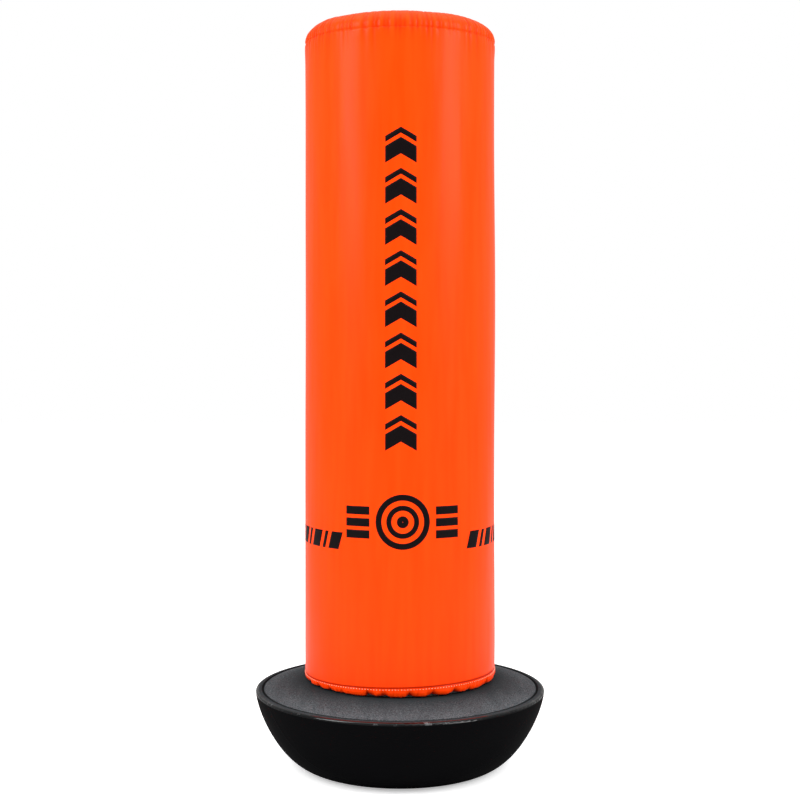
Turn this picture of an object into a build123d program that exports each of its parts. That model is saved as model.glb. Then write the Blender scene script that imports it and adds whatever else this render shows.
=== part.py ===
"""Free-standing heavy punching bag on a ballasted bowl base.

Millimetres, +Z up, origin on the floor at the centre of the foot. The front faces -Y;
the zip and the filler cap are at the back, on +Y.
"""

from build123d import *
import os

os.makedirs("parts", exist_ok=True)

# ---- bag: outside size -------------------------------------------------------------------
bag_radius = 220
bag_top = 1700
shoulder_radius = 42
cover_thickness = 1.5
cover_gap = 2.5  # foam to cover
top_seam_z = bag_top - shoulder_radius
hem_bottom = 198
hem_top = 222
hem_bottom_radius = 213.6
hem_elastic_radius = 2.5
hem_elastic_inset = 3.2

# ---- base: outside size ------------------------------------------------------------------
foot_radius = 213
foot_recess_radius = 160
foot_recess_depth = 8
foot_recess_bevel = 10
rim_radius = 333.3
rim_height = 168
rim_rounding = 4.7
side_fullness = (7, 114.2)  # how far inside the rim the side pulls at this height
side_turn = (59.5, 13)  # and where it turns under towards the foot
wall = 6
lip_width = 15
lip_drop = 1.5
lip_groove_width = 5
lip_groove_depth = 2
deck_edge_height = 173
deck_bag_height = 196.5  # where the deck passes under the edge of the bag
land_radius = 150
land_height = 200
ballast_level = 118
ballast_gap = 0.5

# ---- clearances --------------------------------------------------------------------------
fit_clearance = 0.05
seat_gap = 0.2
assembly_gap = 0.3
loose_gap = 0.4
edge_chamfer = 1.5
small_chamfer = 0.6

# ---- neck: flange, post and swivel -------------------------------------------------------
flange_radius = 98
flange_thickness = 8
flange_bolt_circle = 85
flange_bolt_count = 6
bolt_radius = 5
bolt_hole_radius = 5.5
insert_radius = 8
insert_depth = 22
boss_radius = 14
boss_depth = 36
bolt_head_across_flats = 17
bolt_head_height = 6.4
post_radius = 20
post_thread_radius = 15
thrust_washer_thickness = 3
bush_wall = 3.5
bush_length = 20
hub_radius = 33
hub_length = 51
hub_flange_radius = 76
hub_flange_thickness = 8
washer_thickness = 2
nut_height = 24
nut_across_flats = 46
thread_above_nut = 4
collar_height = 6

flange_top = land_height + flange_thickness
hub_bottom = flange_top + thrust_washer_thickness + seat_gap
hub_top = hub_bottom + hub_length
hub_flange_bottom = 224
hub_flange_top = hub_flange_bottom + hub_flange_thickness
post_shoulder = hub_top + loose_gap
hub_bore = post_radius + fit_clearance + bush_wall + 0.02  # bushes are a light press fit

# ---- neck: spring ------------------------------------------------------------------------
spring_radius = 52
wire_radius = 6.5
spring_turns = 7
spring_bottom = hub_flange_top + seat_gap
spring_top = 383
spring_pitch = (spring_top - spring_bottom) / spring_turns
spring_spigot_radius = spring_radius - wire_radius - 2 * loose_gap
bump_stop_radius = 24
bump_stop_length = 50
bump_stop_taper = 6
bump_stop_rounding = 5

# ---- bag floor tray ----------------------------------------------------------------------
tray_thickness = 4
tray_radius = 204
tray_bottom = 202
tray_raised_radius = 96
tray_step_radius = 108
tray_screw_circle = 67
tray_screw_radius = 3
tray_screw_head = 5.2
tray_screw_head_height = 3.2

# ---- core --------------------------------------------------------------------------------
plug_thickness = 8
plug_bottom = spring_top + seat_gap
plug_top = plug_bottom + plug_thickness
plug_length = 80
plug_wall = 8
tube_radius = 55
tube_wall = 4
tube_top = 1600
tube_bolt_radius = 4
tube_bolt_z = plug_top + 45
tube_bolt_across_flats = 13
tube_bolt_head_height = 5.3
tube_nut_height = 6.5
tube_cap_thickness = 10
tube_cap_skirt = 20
tube_cap_wall = 3

# ---- foam --------------------------------------------------------------------------------
foam_radius = bag_radius - cover_thickness - cover_gap
firm_foam_radius = 130
lower_foam_inner = 106
lower_foam_foot_inner = 118
lower_foam_chamfer = 6
bolt_pocket_width = 24
bolt_pocket_reach = 18
foam_gap = 0.5
top_pad_bottom = 1640
groove_width = 64
groove_floor = 209

# ---- zip ---------------------------------------------------------------------------------
zip_bottom = 430
zip_top = 1640
slit_width = 24
tape_inner = 2.6
tape_outer = 24
tape_y = 214.6
tape_thickness = 1
coil_width = 3.2
coil_depth = 3.2
coil_rounding = 0.8
tape_end_gap = 3
stop_width = 7
stop_depth = 4.4
stop_height = 4
guard_width = 50
guard_thickness = 1
slider_length = 17
slider_width = 14
slider_above_stop = 8
slider_plate_gap = coil_depth / 2 + 0.5
slider_plate_thickness = 1.2
slider_corner = 3
wedge_width = 3
wedge_length = 5
bail_width = 3
bail_length = 10
bail_hole_radius = 1.2
pull_length = 34
pull_width = 9
pull_thickness = 2
pull_pin_radius = 1
pull_cheek_length = 9
pull_cheek_gap = 0.4
pull_slot_length = 7
pull_slot_width = 3
pull_standoff = 4.4

# ---- filler cap --------------------------------------------------------------------------
filler_y = 268
filler_boss_radius = 36
filler_boss_top = 192
filler_boss_height = 16
filler_boss_taper = 4
filler_hole_radius = 23
filler_hole_depth = 40
gasket_thickness = 2
gasket_inset = 3
cap_radius = 33
cap_thickness = 9
cap_stem_length = 20
cap_stem_wall = 3.2
scallop_count = 12
scallop_radius = 6
scallop_offset = 3.5
cap_grip_width = 12
cap_grip_height = 7
cap_grip_taper = 8


def bowl_side(inset):
    """Bezier poles of the bowl's side from rim to foot, moved inside the skin by inset."""
    return [
        (rim_radius - inset, rim_height),
        (rim_radius - side_fullness[0] - inset, side_fullness[1] + 0.35 * inset),
        (rim_radius - side_turn[0] - 0.6 * inset, side_turn[1] + 0.8 * inset),
        (foot_radius - 0.15 * inset, inset),
    ]


def cover_outline(inset):
    """Half outline of the bag's rounded top, from the axis to the seam."""
    return [
        (0, bag_top - inset),
        (bag_radius - shoulder_radius, bag_top - inset),
        (bag_radius - inset, top_seam_z),
    ]


# ==== base ================================================================================

with BuildPart() as base_shell:
    with BuildSketch(Plane.XZ):
        with BuildLine():
            # outside: foot, side, rim, lip, deck
            recess_edge = (foot_recess_radius - foot_recess_bevel, foot_recess_depth)
            Polyline(
                (0, foot_recess_depth), recess_edge, (foot_recess_radius, 0), (foot_radius, 0)
            )
            Bezier(*reversed(bowl_side(0)))
            rim = RadiusArc(
                (rim_radius, rim_height),
                (rim_radius - rim_rounding, deck_edge_height),
                -rim_rounding,
            )
            lip_inner = rim_radius - lip_width
            deck_start = deck_edge_height + 1.2
            Polyline(
                rim @ 1,
                (lip_inner, deck_edge_height + lip_drop),
                (lip_inner - lip_groove_width / 2, deck_edge_height + lip_drop - lip_groove_depth),
                (lip_inner - lip_groove_width, deck_start),
                (foot_radius, deck_bag_height),
                (land_radius, land_height),
                (0, land_height),
                (0, land_height - wall),
                (land_radius, land_height - wall),
                (foot_radius, deck_bag_height - wall),
                (lip_inner - lip_groove_width, deck_start - wall),
                (rim_radius - wall, rim_height),
            )
            # inside: side and floor
            Bezier(*bowl_side(wall))
            Polyline(
                bowl_side(wall)[-1],
                (foot_recess_radius + wall / 2, wall),
                (recess_edge[0] + wall / 2, foot_recess_depth + wall),
                (0, foot_recess_depth + wall),
                (0, foot_recess_depth),
            )
        make_face()
    revolve(axis=Axis.Z)
    # bosses behind the deck that hold the threaded inserts
    with BuildSketch(Plane.XY.offset(land_height - boss_depth)):
        with PolarLocations(flange_bolt_circle, flange_bolt_count):
            Circle(boss_radius)
    extrude(amount=boss_depth - wall / 2)
    with BuildSketch(Plane.XY.offset(land_height)):
        with PolarLocations(flange_bolt_circle, flange_bolt_count):
            Circle(insert_radius + fit_clearance)
    extrude(amount=-insert_depth - ballast_gap, mode=Mode.SUBTRACT)
    # filler neck on the deck behind the bag
    with BuildSketch(Plane.XY.offset(filler_boss_top - filler_boss_height)):
        with Locations((0, filler_y)):
            Circle(filler_boss_radius)
    extrude(amount=filler_boss_height, taper=filler_boss_taper)
    with BuildSketch(Plane.XY.offset(filler_boss_top)):
        with Locations((0, filler_y)):
            Circle(filler_hole_radius)
    extrude(amount=-filler_hole_depth, mode=Mode.SUBTRACT)
base_shell.part.label = "base_shell"
export_step(base_shell.part, "parts/base_shell.step")

with BuildPart() as ballast:
    with BuildSketch(Plane.XZ):
        with BuildLine():
            clear = wall + ballast_gap
            side = Bezier(*bowl_side(clear))
            Polyline(
                side @ 1,
                (foot_recess_radius + clear / 2, clear),
                (recess_edge[0] + clear / 2, foot_recess_depth + clear),
                (0, foot_recess_depth + clear),
                (0, rim_height),
                side @ 0,
            )
        make_face()
    revolve(axis=Axis.Z)
    split(bisect_by=Plane.XY.offset(ballast_level), keep=Keep.BOTTOM)
ballast.part.label = "ballast"
export_step(ballast.part, "parts/ballast.step")

with BuildPart() as deck_inserts:
    with BuildSketch(Plane.XY.offset(land_height - insert_depth)):
        with PolarLocations(flange_bolt_circle, flange_bolt_count):
            Circle(insert_radius)
            Circle(bolt_radius + fit_clearance, mode=Mode.SUBTRACT)
    extrude(amount=insert_depth)
deck_inserts.part.label = "deck_inserts"
export_step(deck_inserts.part, "parts/deck_inserts.step")

with BuildPart() as neck_flange:
    with BuildSketch(Plane.XY.offset(land_height)):
        Circle(flange_radius)
        with PolarLocations(flange_bolt_circle, flange_bolt_count):
            Circle(bolt_hole_radius, mode=Mode.SUBTRACT)
    extrude(amount=flange_thickness)
    top_edges = neck_flange.edges().group_by(Axis.Z)[-1]
    chamfer(top_edges.sort_by(SortBy.LENGTH)[-1], length=edge_chamfer)
    with BuildSketch(Plane.XY.offset(flange_top)):
        Circle(post_radius)
    extrude(amount=post_shoulder - flange_top)
    with BuildSketch(Plane.XY.offset(post_shoulder)):
        Circle(post_thread_radius)
    extrude(amount=2 * washer_thickness + nut_height + thread_above_nut)
    chamfer(neck_flange.edges().group_by(Axis.Z)[-1], length=edge_chamfer)
neck_flange.part.label = "neck_flange"
export_step(neck_flange.part, "parts/neck_flange.step")

with BuildPart() as flange_washers:
    with BuildSketch(Plane.XY.offset(flange_top)):
        with PolarLocations(flange_bolt_circle, flange_bolt_count):
            Circle(2 * bolt_radius)
            Circle(bolt_hole_radius - fit_clearance, mode=Mode.SUBTRACT)
    extrude(amount=washer_thickness)
flange_washers.part.label = "flange_washers"
export_step(flange_washers.part, "parts/flange_washers.step")

with BuildPart() as flange_bolts:
    head_bottom = flange_top + washer_thickness
    with BuildSketch(Plane.XY.offset(head_bottom)):
        with PolarLocations(flange_bolt_circle, flange_bolt_count):
            RegularPolygon(radius=bolt_head_across_flats / 2, side_count=6, major_radius=False)
    extrude(amount=bolt_head_height)
    chamfer(flange_bolts.edges().group_by(Axis.Z)[-1], length=small_chamfer)
    with BuildSketch(Plane.XY.offset(head_bottom)):
        with PolarLocations(flange_bolt_circle, flange_bolt_count):
            Circle(bolt_radius)
    extrude(amount=-(head_bottom - land_height + insert_depth - 1))
flange_bolts.part.label = "flange_bolts"
export_step(flange_bolts.part, "parts/flange_bolts.step")

with BuildPart() as post_washer:
    with BuildSketch(Plane.XY.offset(post_shoulder)):
        Circle(hub_radius)
        Circle(post_thread_radius + fit_clearance, mode=Mode.SUBTRACT)
    extrude(amount=2 * washer_thickness)
    rim_edges = post_washer.edges().filter_by(GeomType.CIRCLE).sort_by(SortBy.RADIUS)[-2:]
    chamfer(rim_edges, length=small_chamfer)
post_washer.part.label = "post_washer"
export_step(post_washer.part, "parts/post_washer.step")

with BuildPart() as post_nut:
    with BuildSketch(Plane.XY.offset(post_shoulder + 2 * washer_thickness)):
        RegularPolygon(radius=nut_across_flats / 2, side_count=6, major_radius=False)
        Circle(post_thread_radius + fit_clearance, mode=Mode.SUBTRACT)
    extrude(amount=nut_height)
post_nut.part.label = "post_nut"
export_step(post_nut.part, "parts/post_nut.step")

with BuildPart() as thrust_washer:
    with BuildSketch(Plane.XY.offset(flange_top)):
        Circle(hub_radius + 4)
        Circle(post_radius + fit_clearance, mode=Mode.SUBTRACT)
    extrude(amount=thrust_washer_thickness)
thrust_washer.part.label = "thrust_washer"
export_step(thrust_washer.part, "parts/thrust_washer.step")

# ==== swivel hub ==========================================================================

with BuildPart() as swivel_hub:
    with BuildSketch(Plane.XY.offset(hub_bottom)):
        Circle(hub_radius)
    extrude(amount=hub_length)
    with BuildSketch(Plane.XY.offset(hub_flange_bottom)):
        Circle(hub_flange_radius)
    extrude(amount=hub_flange_thickness)
    # collar that centres the spring
    with BuildSketch(Plane.XY.offset(hub_flange_top)):
        Circle(spring_spigot_radius)
    extrude(amount=collar_height)
    with BuildSketch(Plane.XY.offset(hub_bottom)):
        Circle(hub_bore)
    extrude(amount=hub_length, mode=Mode.SUBTRACT)
    with BuildSketch(Plane.XY.offset(hub_flange_bottom)):
        with PolarLocations(tray_screw_circle, flange_bolt_count):
            Circle(tray_screw_radius + assembly_gap)
    extrude(amount=hub_flange_thickness, mode=Mode.SUBTRACT)
swivel_hub.part.label = "swivel_hub"
export_step(swivel_hub.part, "parts/swivel_hub.step")

with BuildPart() as hub_bushes:
    for bush_bottom in (hub_bottom, hub_top - bush_length):
        with BuildSketch(Plane.XY.offset(bush_bottom)):
            Circle(post_radius + fit_clearance + bush_wall)
            Circle(post_radius + fit_clearance, mode=Mode.SUBTRACT)
        extrude(amount=bush_length)
hub_bushes.part.label = "hub_bushes"
export_step(hub_bushes.part, "parts/hub_bushes.step")

with BuildPart() as bag_floor:
    raised_bottom = hub_flange_bottom - tray_thickness - seat_gap
    raised_top = raised_bottom + tray_thickness
    with BuildSketch(Plane.XZ):
        with BuildLine():
            Polyline(
                (hub_radius + 1, raised_bottom),
                (tray_raised_radius, raised_bottom),
                (tray_step_radius, tray_bottom),
                (tray_radius, tray_bottom),
                (tray_radius, tray_bottom + tray_thickness),
                (tray_step_radius + tray_thickness, tray_bottom + tray_thickness),
                (tray_raised_radius + tray_thickness, raised_top),
                (hub_radius + 1, raised_top),
                close=True,
            )
        make_face()
    revolve(axis=Axis.Z)
    with BuildSketch(Plane.XY.offset(raised_bottom)):
        with PolarLocations(tray_screw_circle, flange_bolt_count):
            Circle(tray_screw_radius + fit_clearance)
    extrude(amount=tray_thickness, mode=Mode.SUBTRACT)
bag_floor.part.label = "bag_floor"
export_step(bag_floor.part, "parts/bag_floor.step")

with BuildPart() as tray_screws:
    with BuildSketch(Plane.XY.offset(hub_flange_top)):
        with PolarLocations(tray_screw_circle, flange_bolt_count):
            Circle(tray_screw_head)
    extrude(amount=tray_screw_head_height)
    fillet(tray_screws.edges().group_by(Axis.Z)[-1], radius=2 * small_chamfer)
    with BuildSketch(Plane.XY.offset(hub_flange_top)):
        with PolarLocations(tray_screw_circle, flange_bolt_count):
            Circle(tray_screw_radius)
    extrude(amount=raised_bottom - hub_flange_top + loose_gap)
tray_screws.part.label = "tray_screws"
export_step(tray_screws.part, "parts/tray_screws.step")

with BuildPart() as neck_spring:
    with BuildLine() as coil_line:
        Helix(
            pitch=spring_pitch,
            height=spring_top - spring_bottom,
            radius=spring_radius,
            center=(0, 0, spring_bottom),
        )
    with BuildSketch(Plane(origin=coil_line.line @ 0, z_dir=coil_line.line % 0)):
        Circle(wire_radius)
    sweep(path=coil_line.line, is_frenet=True)
    # ends ground flat where they are welded to their seats
    split(bisect_by=Plane.XY.offset(spring_bottom), keep=Keep.TOP)
    split(bisect_by=Plane.XY.offset(spring_top), keep=Keep.BOTTOM)
neck_spring.part.label = "neck_spring"
export_step(neck_spring.part, "parts/neck_spring.step")

with BuildPart() as lower_foam:
    lower_foam_bottom = tray_bottom + tray_thickness + loose_gap
    with BuildSketch(Plane.XZ):
        with BuildLine():
            Polyline(
                (lower_foam_foot_inner, lower_foam_bottom),
                (tray_radius + 1, lower_foam_bottom),
                (foam_radius, hem_top + lower_foam_chamfer),
                (foam_radius, spring_top),
                (lower_foam_inner, spring_top),
                (lower_foam_inner, raised_top + 1),
                close=True,
            )
        make_face()
    revolve(axis=Axis.Z)
lower_foam.part.label = "lower_foam"
export_step(lower_foam.part, "parts/lower_foam.step")

with BuildPart() as hem_band:
    with BuildSketch(Plane.XZ):
        with BuildLine():
            Polyline(
                (hem_bottom_radius, hem_bottom),
                (bag_radius, hem_top - assembly_gap),
                (bag_radius - cover_thickness, hem_top - assembly_gap),
                (hem_bottom_radius - cover_thickness, hem_bottom),
                close=True,
            )
        make_face()
    revolve(axis=Axis.Z)
hem_band.part.label = "hem_band"
export_step(hem_band.part, "parts/hem_band.step")

with BuildPart() as hem_elastic:
    with BuildSketch(Plane.XZ):
        elastic_ring = hem_bottom_radius - cover_thickness - hem_elastic_inset
        with Locations((elastic_ring, hem_bottom + hem_elastic_inset + seat_gap)):
            Circle(hem_elastic_radius)
    revolve(axis=Axis.Z)
hem_elastic.part.label = "hem_elastic"
export_step(hem_elastic.part, "parts/hem_elastic.step")

# ==== column: core ========================================================================

with BuildPart() as core_plug:
    with BuildSketch(Plane.XY.offset(plug_bottom)):
        Circle(hub_flange_radius)
    extrude(amount=plug_thickness)
    with BuildSketch(Plane.XY.offset(plug_top)):
        Circle(tube_radius - tube_wall - fit_clearance)
        Circle(tube_radius - tube_wall - plug_wall, mode=Mode.SUBTRACT)
    extrude(amount=plug_length)
    with BuildSketch(Plane.XY.offset(plug_bottom)):
        Circle(spring_spigot_radius)
    extrude(amount=-collar_height)
    with Locations(Plane((0, 0, tube_bolt_z), x_dir=(0, 1, 0), z_dir=(1, 0, 0))):
        Cylinder(tube_bolt_radius + fit_clearance, 3 * tube_radius, mode=Mode.SUBTRACT)
core_plug.part.label = "core_plug"
export_step(core_plug.part, "parts/core_plug.step")

with BuildPart() as bump_stop:
    with BuildSketch(Plane.XY.offset(plug_bottom - collar_height - assembly_gap)):
        Circle(bump_stop_radius)
    extrude(amount=-bump_stop_length, taper=bump_stop_taper)
    fillet(bump_stop.edges().group_by(Axis.Z)[0], radius=bump_stop_rounding)
bump_stop.part.label = "bump_stop"
export_step(bump_stop.part, "parts/bump_stop.step")

with BuildPart() as core_tube:
    with BuildSketch(Plane.XY.offset(plug_top + assembly_gap)):
        Circle(tube_radius)
        Circle(tube_radius - tube_wall, mode=Mode.SUBTRACT)
    extrude(amount=tube_top - plug_top - assembly_gap)
    with Locations(Plane((0, 0, tube_bolt_z), x_dir=(0, 1, 0), z_dir=(1, 0, 0))):
        Cylinder(tube_bolt_radius + fit_clearance, 3 * tube_radius, mode=Mode.SUBTRACT)
core_tube.part.label = "core_tube"
export_step(core_tube.part, "parts/core_tube.step")

with BuildPart() as tube_bolt:
    with Locations(Plane((0, 0, tube_bolt_z), x_dir=(0, 1, 0), z_dir=(1, 0, 0))):
        Cylinder(tube_bolt_radius, 2 * tube_radius + 10)
    with BuildSketch(Plane.YZ.offset(-tube_radius - loose_gap)):
        with Locations((0, tube_bolt_z)):
            RegularPolygon(radius=tube_bolt_across_flats / 2, side_count=6, major_radius=False)
    extrude(amount=-tube_bolt_head_height)
tube_bolt.part.label = "tube_bolt"
export_step(tube_bolt.part, "parts/tube_bolt.step")

with BuildPart() as tube_nut:
    with BuildSketch(Plane.YZ.offset(tube_radius + loose_gap)):
        with Locations((0, tube_bolt_z)):
            RegularPolygon(radius=tube_bolt_across_flats / 2, side_count=6, major_radius=False)
            Circle(tube_bolt_radius + fit_clearance, mode=Mode.SUBTRACT)
    extrude(amount=tube_nut_height)
tube_nut.part.label = "tube_nut"
export_step(tube_nut.part, "parts/tube_nut.step")

with BuildPart() as tube_cap:
    with BuildSketch(Plane.XY.offset(tube_top + assembly_gap)):
        Circle(tube_radius)
    extrude(amount=tube_cap_thickness)
    fillet(tube_cap.edges().group_by(Axis.Z)[-1], radius=tube_cap_wall)
    with BuildSketch(Plane.XY.offset(tube_top + assembly_gap)):
        Circle(tube_radius - tube_wall - fit_clearance)
        Circle(tube_radius - tube_wall - tube_cap_wall, mode=Mode.SUBTRACT)
    extrude(amount=-tube_cap_skirt)
tube_cap.part.label = "tube_cap"
export_step(tube_cap.part, "parts/tube_cap.step")

# ==== column: foam ========================================================================

with BuildPart() as firm_foam:
    with BuildSketch(Plane.XY.offset(plug_top + foam_gap)):
        Circle(firm_foam_radius)
        Circle(tube_radius + foam_gap, mode=Mode.SUBTRACT)
    extrude(amount=top_pad_bottom - plug_top - 2 * foam_gap)
    # pocket round the cross bolt
    with BuildSketch(Plane.XY.offset(plug_top + foam_gap)):
        Rectangle(2 * (tube_radius + bolt_pocket_reach), bolt_pocket_width)
    extrude(amount=tube_bolt_z + bolt_pocket_width / 2 - plug_top, mode=Mode.SUBTRACT)
firm_foam.part.label = "firm_foam"
export_step(firm_foam.part, "parts/firm_foam.step")

with BuildPart() as outer_foam:
    with BuildSketch(Plane.XY.offset(spring_top + foam_gap)):
        Circle(foam_radius)
        Circle(firm_foam_radius + foam_gap, mode=Mode.SUBTRACT)
        # shallow groove behind the zip
        with Locations((0, groove_floor + groove_width / 2)):
            Rectangle(groove_width, groove_width, mode=Mode.SUBTRACT)
    extrude(amount=top_pad_bottom - spring_top - 2 * foam_gap)
outer_foam.part.label = "outer_foam"
export_step(outer_foam.part, "parts/outer_foam.step")

with BuildPart() as top_pad:
    pad_inset = cover_thickness + cover_gap
    with BuildSketch(Plane.XZ):
        with BuildLine():
            pad_crown, pad_turn, pad_side = cover_outline(pad_inset)
            Line(pad_crown, pad_turn)
            RadiusArc(pad_turn, pad_side, shoulder_radius - pad_inset)
            Polyline(
                pad_side,
                (foam_radius, top_pad_bottom),
                (0, top_pad_bottom),
                pad_crown,
            )
        make_face()
    revolve(axis=Axis.Z)
top_pad.part.label = "top_pad"
export_step(top_pad.part, "parts/top_pad.step")

# ==== column: cover =======================================================================

with BuildPart() as cover_sleeve:
    with BuildSketch(Plane.XY.offset(hem_top)):
        Circle(bag_radius)
        Circle(bag_radius - cover_thickness, mode=Mode.SUBTRACT)
    extrude(amount=top_seam_z - assembly_gap - hem_top)
    with BuildSketch(Plane.XY.offset(zip_bottom)):
        with Locations((0, bag_radius)):
            Rectangle(slit_width, slit_width)
    extrude(amount=zip_top - zip_bottom, mode=Mode.SUBTRACT)
cover_sleeve.part.label = "cover_sleeve"
export_step(cover_sleeve.part, "parts/cover_sleeve.step")

with BuildPart() as cover_top:
    with BuildSketch(Plane.XZ):
        with BuildLine():
            out_crown, out_turn, out_side = cover_outline(0)
            in_crown, in_turn, in_side = cover_outline(cover_thickness)
            Line(out_crown, out_turn)
            RadiusArc(out_turn, out_side, shoulder_radius)
            Line(out_side, in_side)
            RadiusArc(in_side, in_turn, -(shoulder_radius - cover_thickness))
            Polyline(in_turn, in_crown, out_crown)
        make_face()
    revolve(axis=Axis.Z)
cover_top.part.label = "cover_top"
export_step(cover_top.part, "parts/cover_top.step")

# ==== column: zip =========================================================================

tape_top = zip_top - tape_end_gap
tape_bottom = zip_bottom + tape_end_gap

with BuildPart() as zip_guard:
    with BuildSketch(Plane.XY.offset(tape_bottom)):
        with Locations((0, groove_floor + 1 + guard_thickness / 2)):
            Rectangle(guard_width, guard_thickness)
    extrude(amount=tape_top - tape_bottom)
zip_guard.part.label = "zip_guard"
export_step(zip_guard.part, "parts/zip_guard.step")

with BuildPart() as zip_tapes:
    with BuildSketch(Plane.XY.offset(tape_bottom)):
        for side_sign in (-1, 1):
            with Locations((side_sign * (tape_inner + tape_outer) / 2 + side_sign, tape_y)):
                Rectangle(tape_outer - tape_inner, tape_thickness)
    extrude(amount=tape_top - tape_bottom)
zip_tapes.part.label = "zip_tapes"
export_step(zip_tapes.part, "parts/zip_tapes.step")

# the slider rests at the bottom of the closed zip, just above the bottom stop
slider_bottom = tape_bottom + slider_above_stop
coil_bottom = slider_bottom + wedge_length + edge_chamfer

with BuildPart() as zip_coils:
    with BuildSketch(Plane.XY.offset(coil_bottom)):
        for side_sign in (-1, 1):
            with Locations((side_sign * (coil_width / 2 + 0.05), tape_y)):
                Rectangle(coil_width, coil_depth)
    extrude(amount=tape_top - coil_bottom - stop_height - 1)
    fillet(zip_coils.edges().filter_by(Axis.Z), radius=coil_rounding)
zip_coils.part.label = "zip_coils"
export_step(zip_coils.part, "parts/zip_coils.step")

with BuildPart() as zip_stops:
    for stop_z in (tape_bottom + 1, tape_top - stop_height):
        with BuildSketch(Plane.XY.offset(stop_z)):
            with Locations((0, tape_y)):
                Rectangle(stop_width, stop_depth)
        extrude(amount=stop_height)
    fillet(zip_stops.edges().filter_by(Axis.Z), radius=small_chamfer)
zip_stops.part.label = "zip_stops"
export_step(zip_stops.part, "parts/zip_stops.step")

with BuildPart() as zip_slider:
    slider_middle = slider_bottom + slider_length / 2
    back_y = tape_y - slider_plate_gap
    front_y = tape_y + slider_plate_gap
    back_plate = Plane((0, back_y, slider_middle), x_dir=(1, 0, 0), z_dir=(0, -1, 0))
    front_plate = Plane((0, front_y, slider_middle), x_dir=(-1, 0, 0), z_dir=(0, 1, 0))
    for plate in (back_plate, front_plate):
        with BuildSketch(plate):
            RectangleRounded(slider_width, slider_length, slider_corner)
        extrude(amount=slider_plate_thickness)
    # wedge that parts the two rows, below the end of the joined coils
    with BuildSketch(back_plate.offset(seat_gap)):
        with Locations((0, -slider_length / 2 + slider_corner)):
            Rectangle(wedge_width, wedge_length)
    extrude(amount=-2 * (slider_plate_gap + seat_gap))
    # bail that holds the pull
    bail_outer = front_y + slider_plate_thickness
    with BuildSketch(Plane.YZ.offset(-bail_width / 2)):
        with Locations((bail_outer + pull_standoff / 2 + pull_pin_radius, slider_middle)):
            Rectangle(pull_standoff + 2 * bail_hole_radius, bail_length)
        with Locations((bail_outer + pull_standoff, slider_middle)):
            Circle(bail_hole_radius, mode=Mode.SUBTRACT)
    extrude(amount=bail_width)
    fillet(zip_slider.edges().filter_by(Axis.X).sort_by(Axis.Y)[-2:], radius=bail_width / 2)
zip_slider.part.label = "zip_slider"
export_step(zip_slider.part, "parts/zip_slider.step")

with BuildPart() as zip_pull:
    pull_y = bail_outer + pull_standoff
    cheek_offset = bail_width / 2 + pull_cheek_gap
    cheek_width = pull_width / 2 - cheek_offset
    # pin through the bail and two cheeks, then the tab hanging below
    with Locations(Plane((0, pull_y, slider_middle), x_dir=(0, 1, 0), z_dir=(1, 0, 0))):
        Cylinder(pull_pin_radius, pull_width)
    for side_sign in (-1, 1):
        cheek_x = side_sign * (cheek_offset + cheek_width / 2)
        with Locations((cheek_x, pull_y, slider_middle - pull_cheek_length / 2 + pull_pin_radius)):
            Box(cheek_width, pull_thickness, pull_cheek_length)
    tab_origin = (0, pull_y + pull_thickness / 2, slider_middle - pull_cheek_length + pull_pin_radius)
    with BuildSketch(Plane(tab_origin, x_dir=(1, 0, 0), z_dir=(0, 1, 0))):
        with Locations((0, pull_length / 2 - small_chamfer)):
            RectangleRounded(pull_width, pull_length, edge_chamfer)
            with Locations((0, (pull_length - pull_slot_length) / 2 - pull_thickness)):
                SlotOverall(pull_slot_length, pull_slot_width, mode=Mode.SUBTRACT)
    extrude(amount=-pull_thickness)
zip_pull.part.label = "zip_pull"
export_step(zip_pull.part, "parts/zip_pull.step")

# ==== filler ==============================================================================

with BuildPart() as filler_gasket:
    with BuildSketch(Plane.XY.offset(filler_boss_top + seat_gap)):
        with Locations((0, filler_y)):
            Circle(cap_radius - gasket_inset)
            Circle(filler_hole_radius + 1, mode=Mode.SUBTRACT)
    extrude(amount=gasket_thickness)
filler_gasket.part.label = "filler_gasket"
export_step(filler_gasket.part, "parts/filler_gasket.step")

with BuildPart() as filler_cap:
    cap_bottom = filler_boss_top + seat_gap + gasket_thickness + assembly_gap
    with BuildSketch(Plane.XY.offset(cap_bottom)):
        with Locations((0, filler_y)):
            Circle(cap_radius)
            # finger scallops round the edge
            with PolarLocations(cap_radius + scallop_offset, scallop_count):
                Circle(scallop_radius, mode=Mode.SUBTRACT)
    extrude(amount=cap_thickness)
    with BuildSketch(Plane.XY.offset(cap_bottom + cap_thickness)):
        with Locations((0, filler_y)):
            SlotOverall(1.5 * cap_radius, cap_grip_width)
    extrude(amount=cap_grip_height, taper=cap_grip_taper)
    fillet(filler_cap.edges().group_by(Axis.Z)[-1], radius=edge_chamfer)
    with BuildSketch(Plane.XY.offset(cap_bottom)):
        with Locations((0, filler_y)):
            Circle(filler_hole_radius - assembly_gap)
            Circle(filler_hole_radius - assembly_gap - cap_stem_wall, mode=Mode.SUBTRACT)
    extrude(amount=-cap_stem_length)
filler_cap.part.label = "filler_cap"
export_step(filler_cap.part, "parts/filler_cap.step")
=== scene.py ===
"""Free-standing punching bag: cover, hem, foam, zip, prints and finishes round the fixed frame.

Metres in Blender, millimetres in the named sizes. A bearing is an angle round the bag from its
front, -Y, positive towards +X, so the zip is at a bearing of half a turn.
"""
import math

import bpy
import numpy as np
from bpy.props import FloatProperty, FloatVectorProperty, IntProperty, PointerProperty
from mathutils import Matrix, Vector
from mathutils.bvhtree import BVHTree


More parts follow.
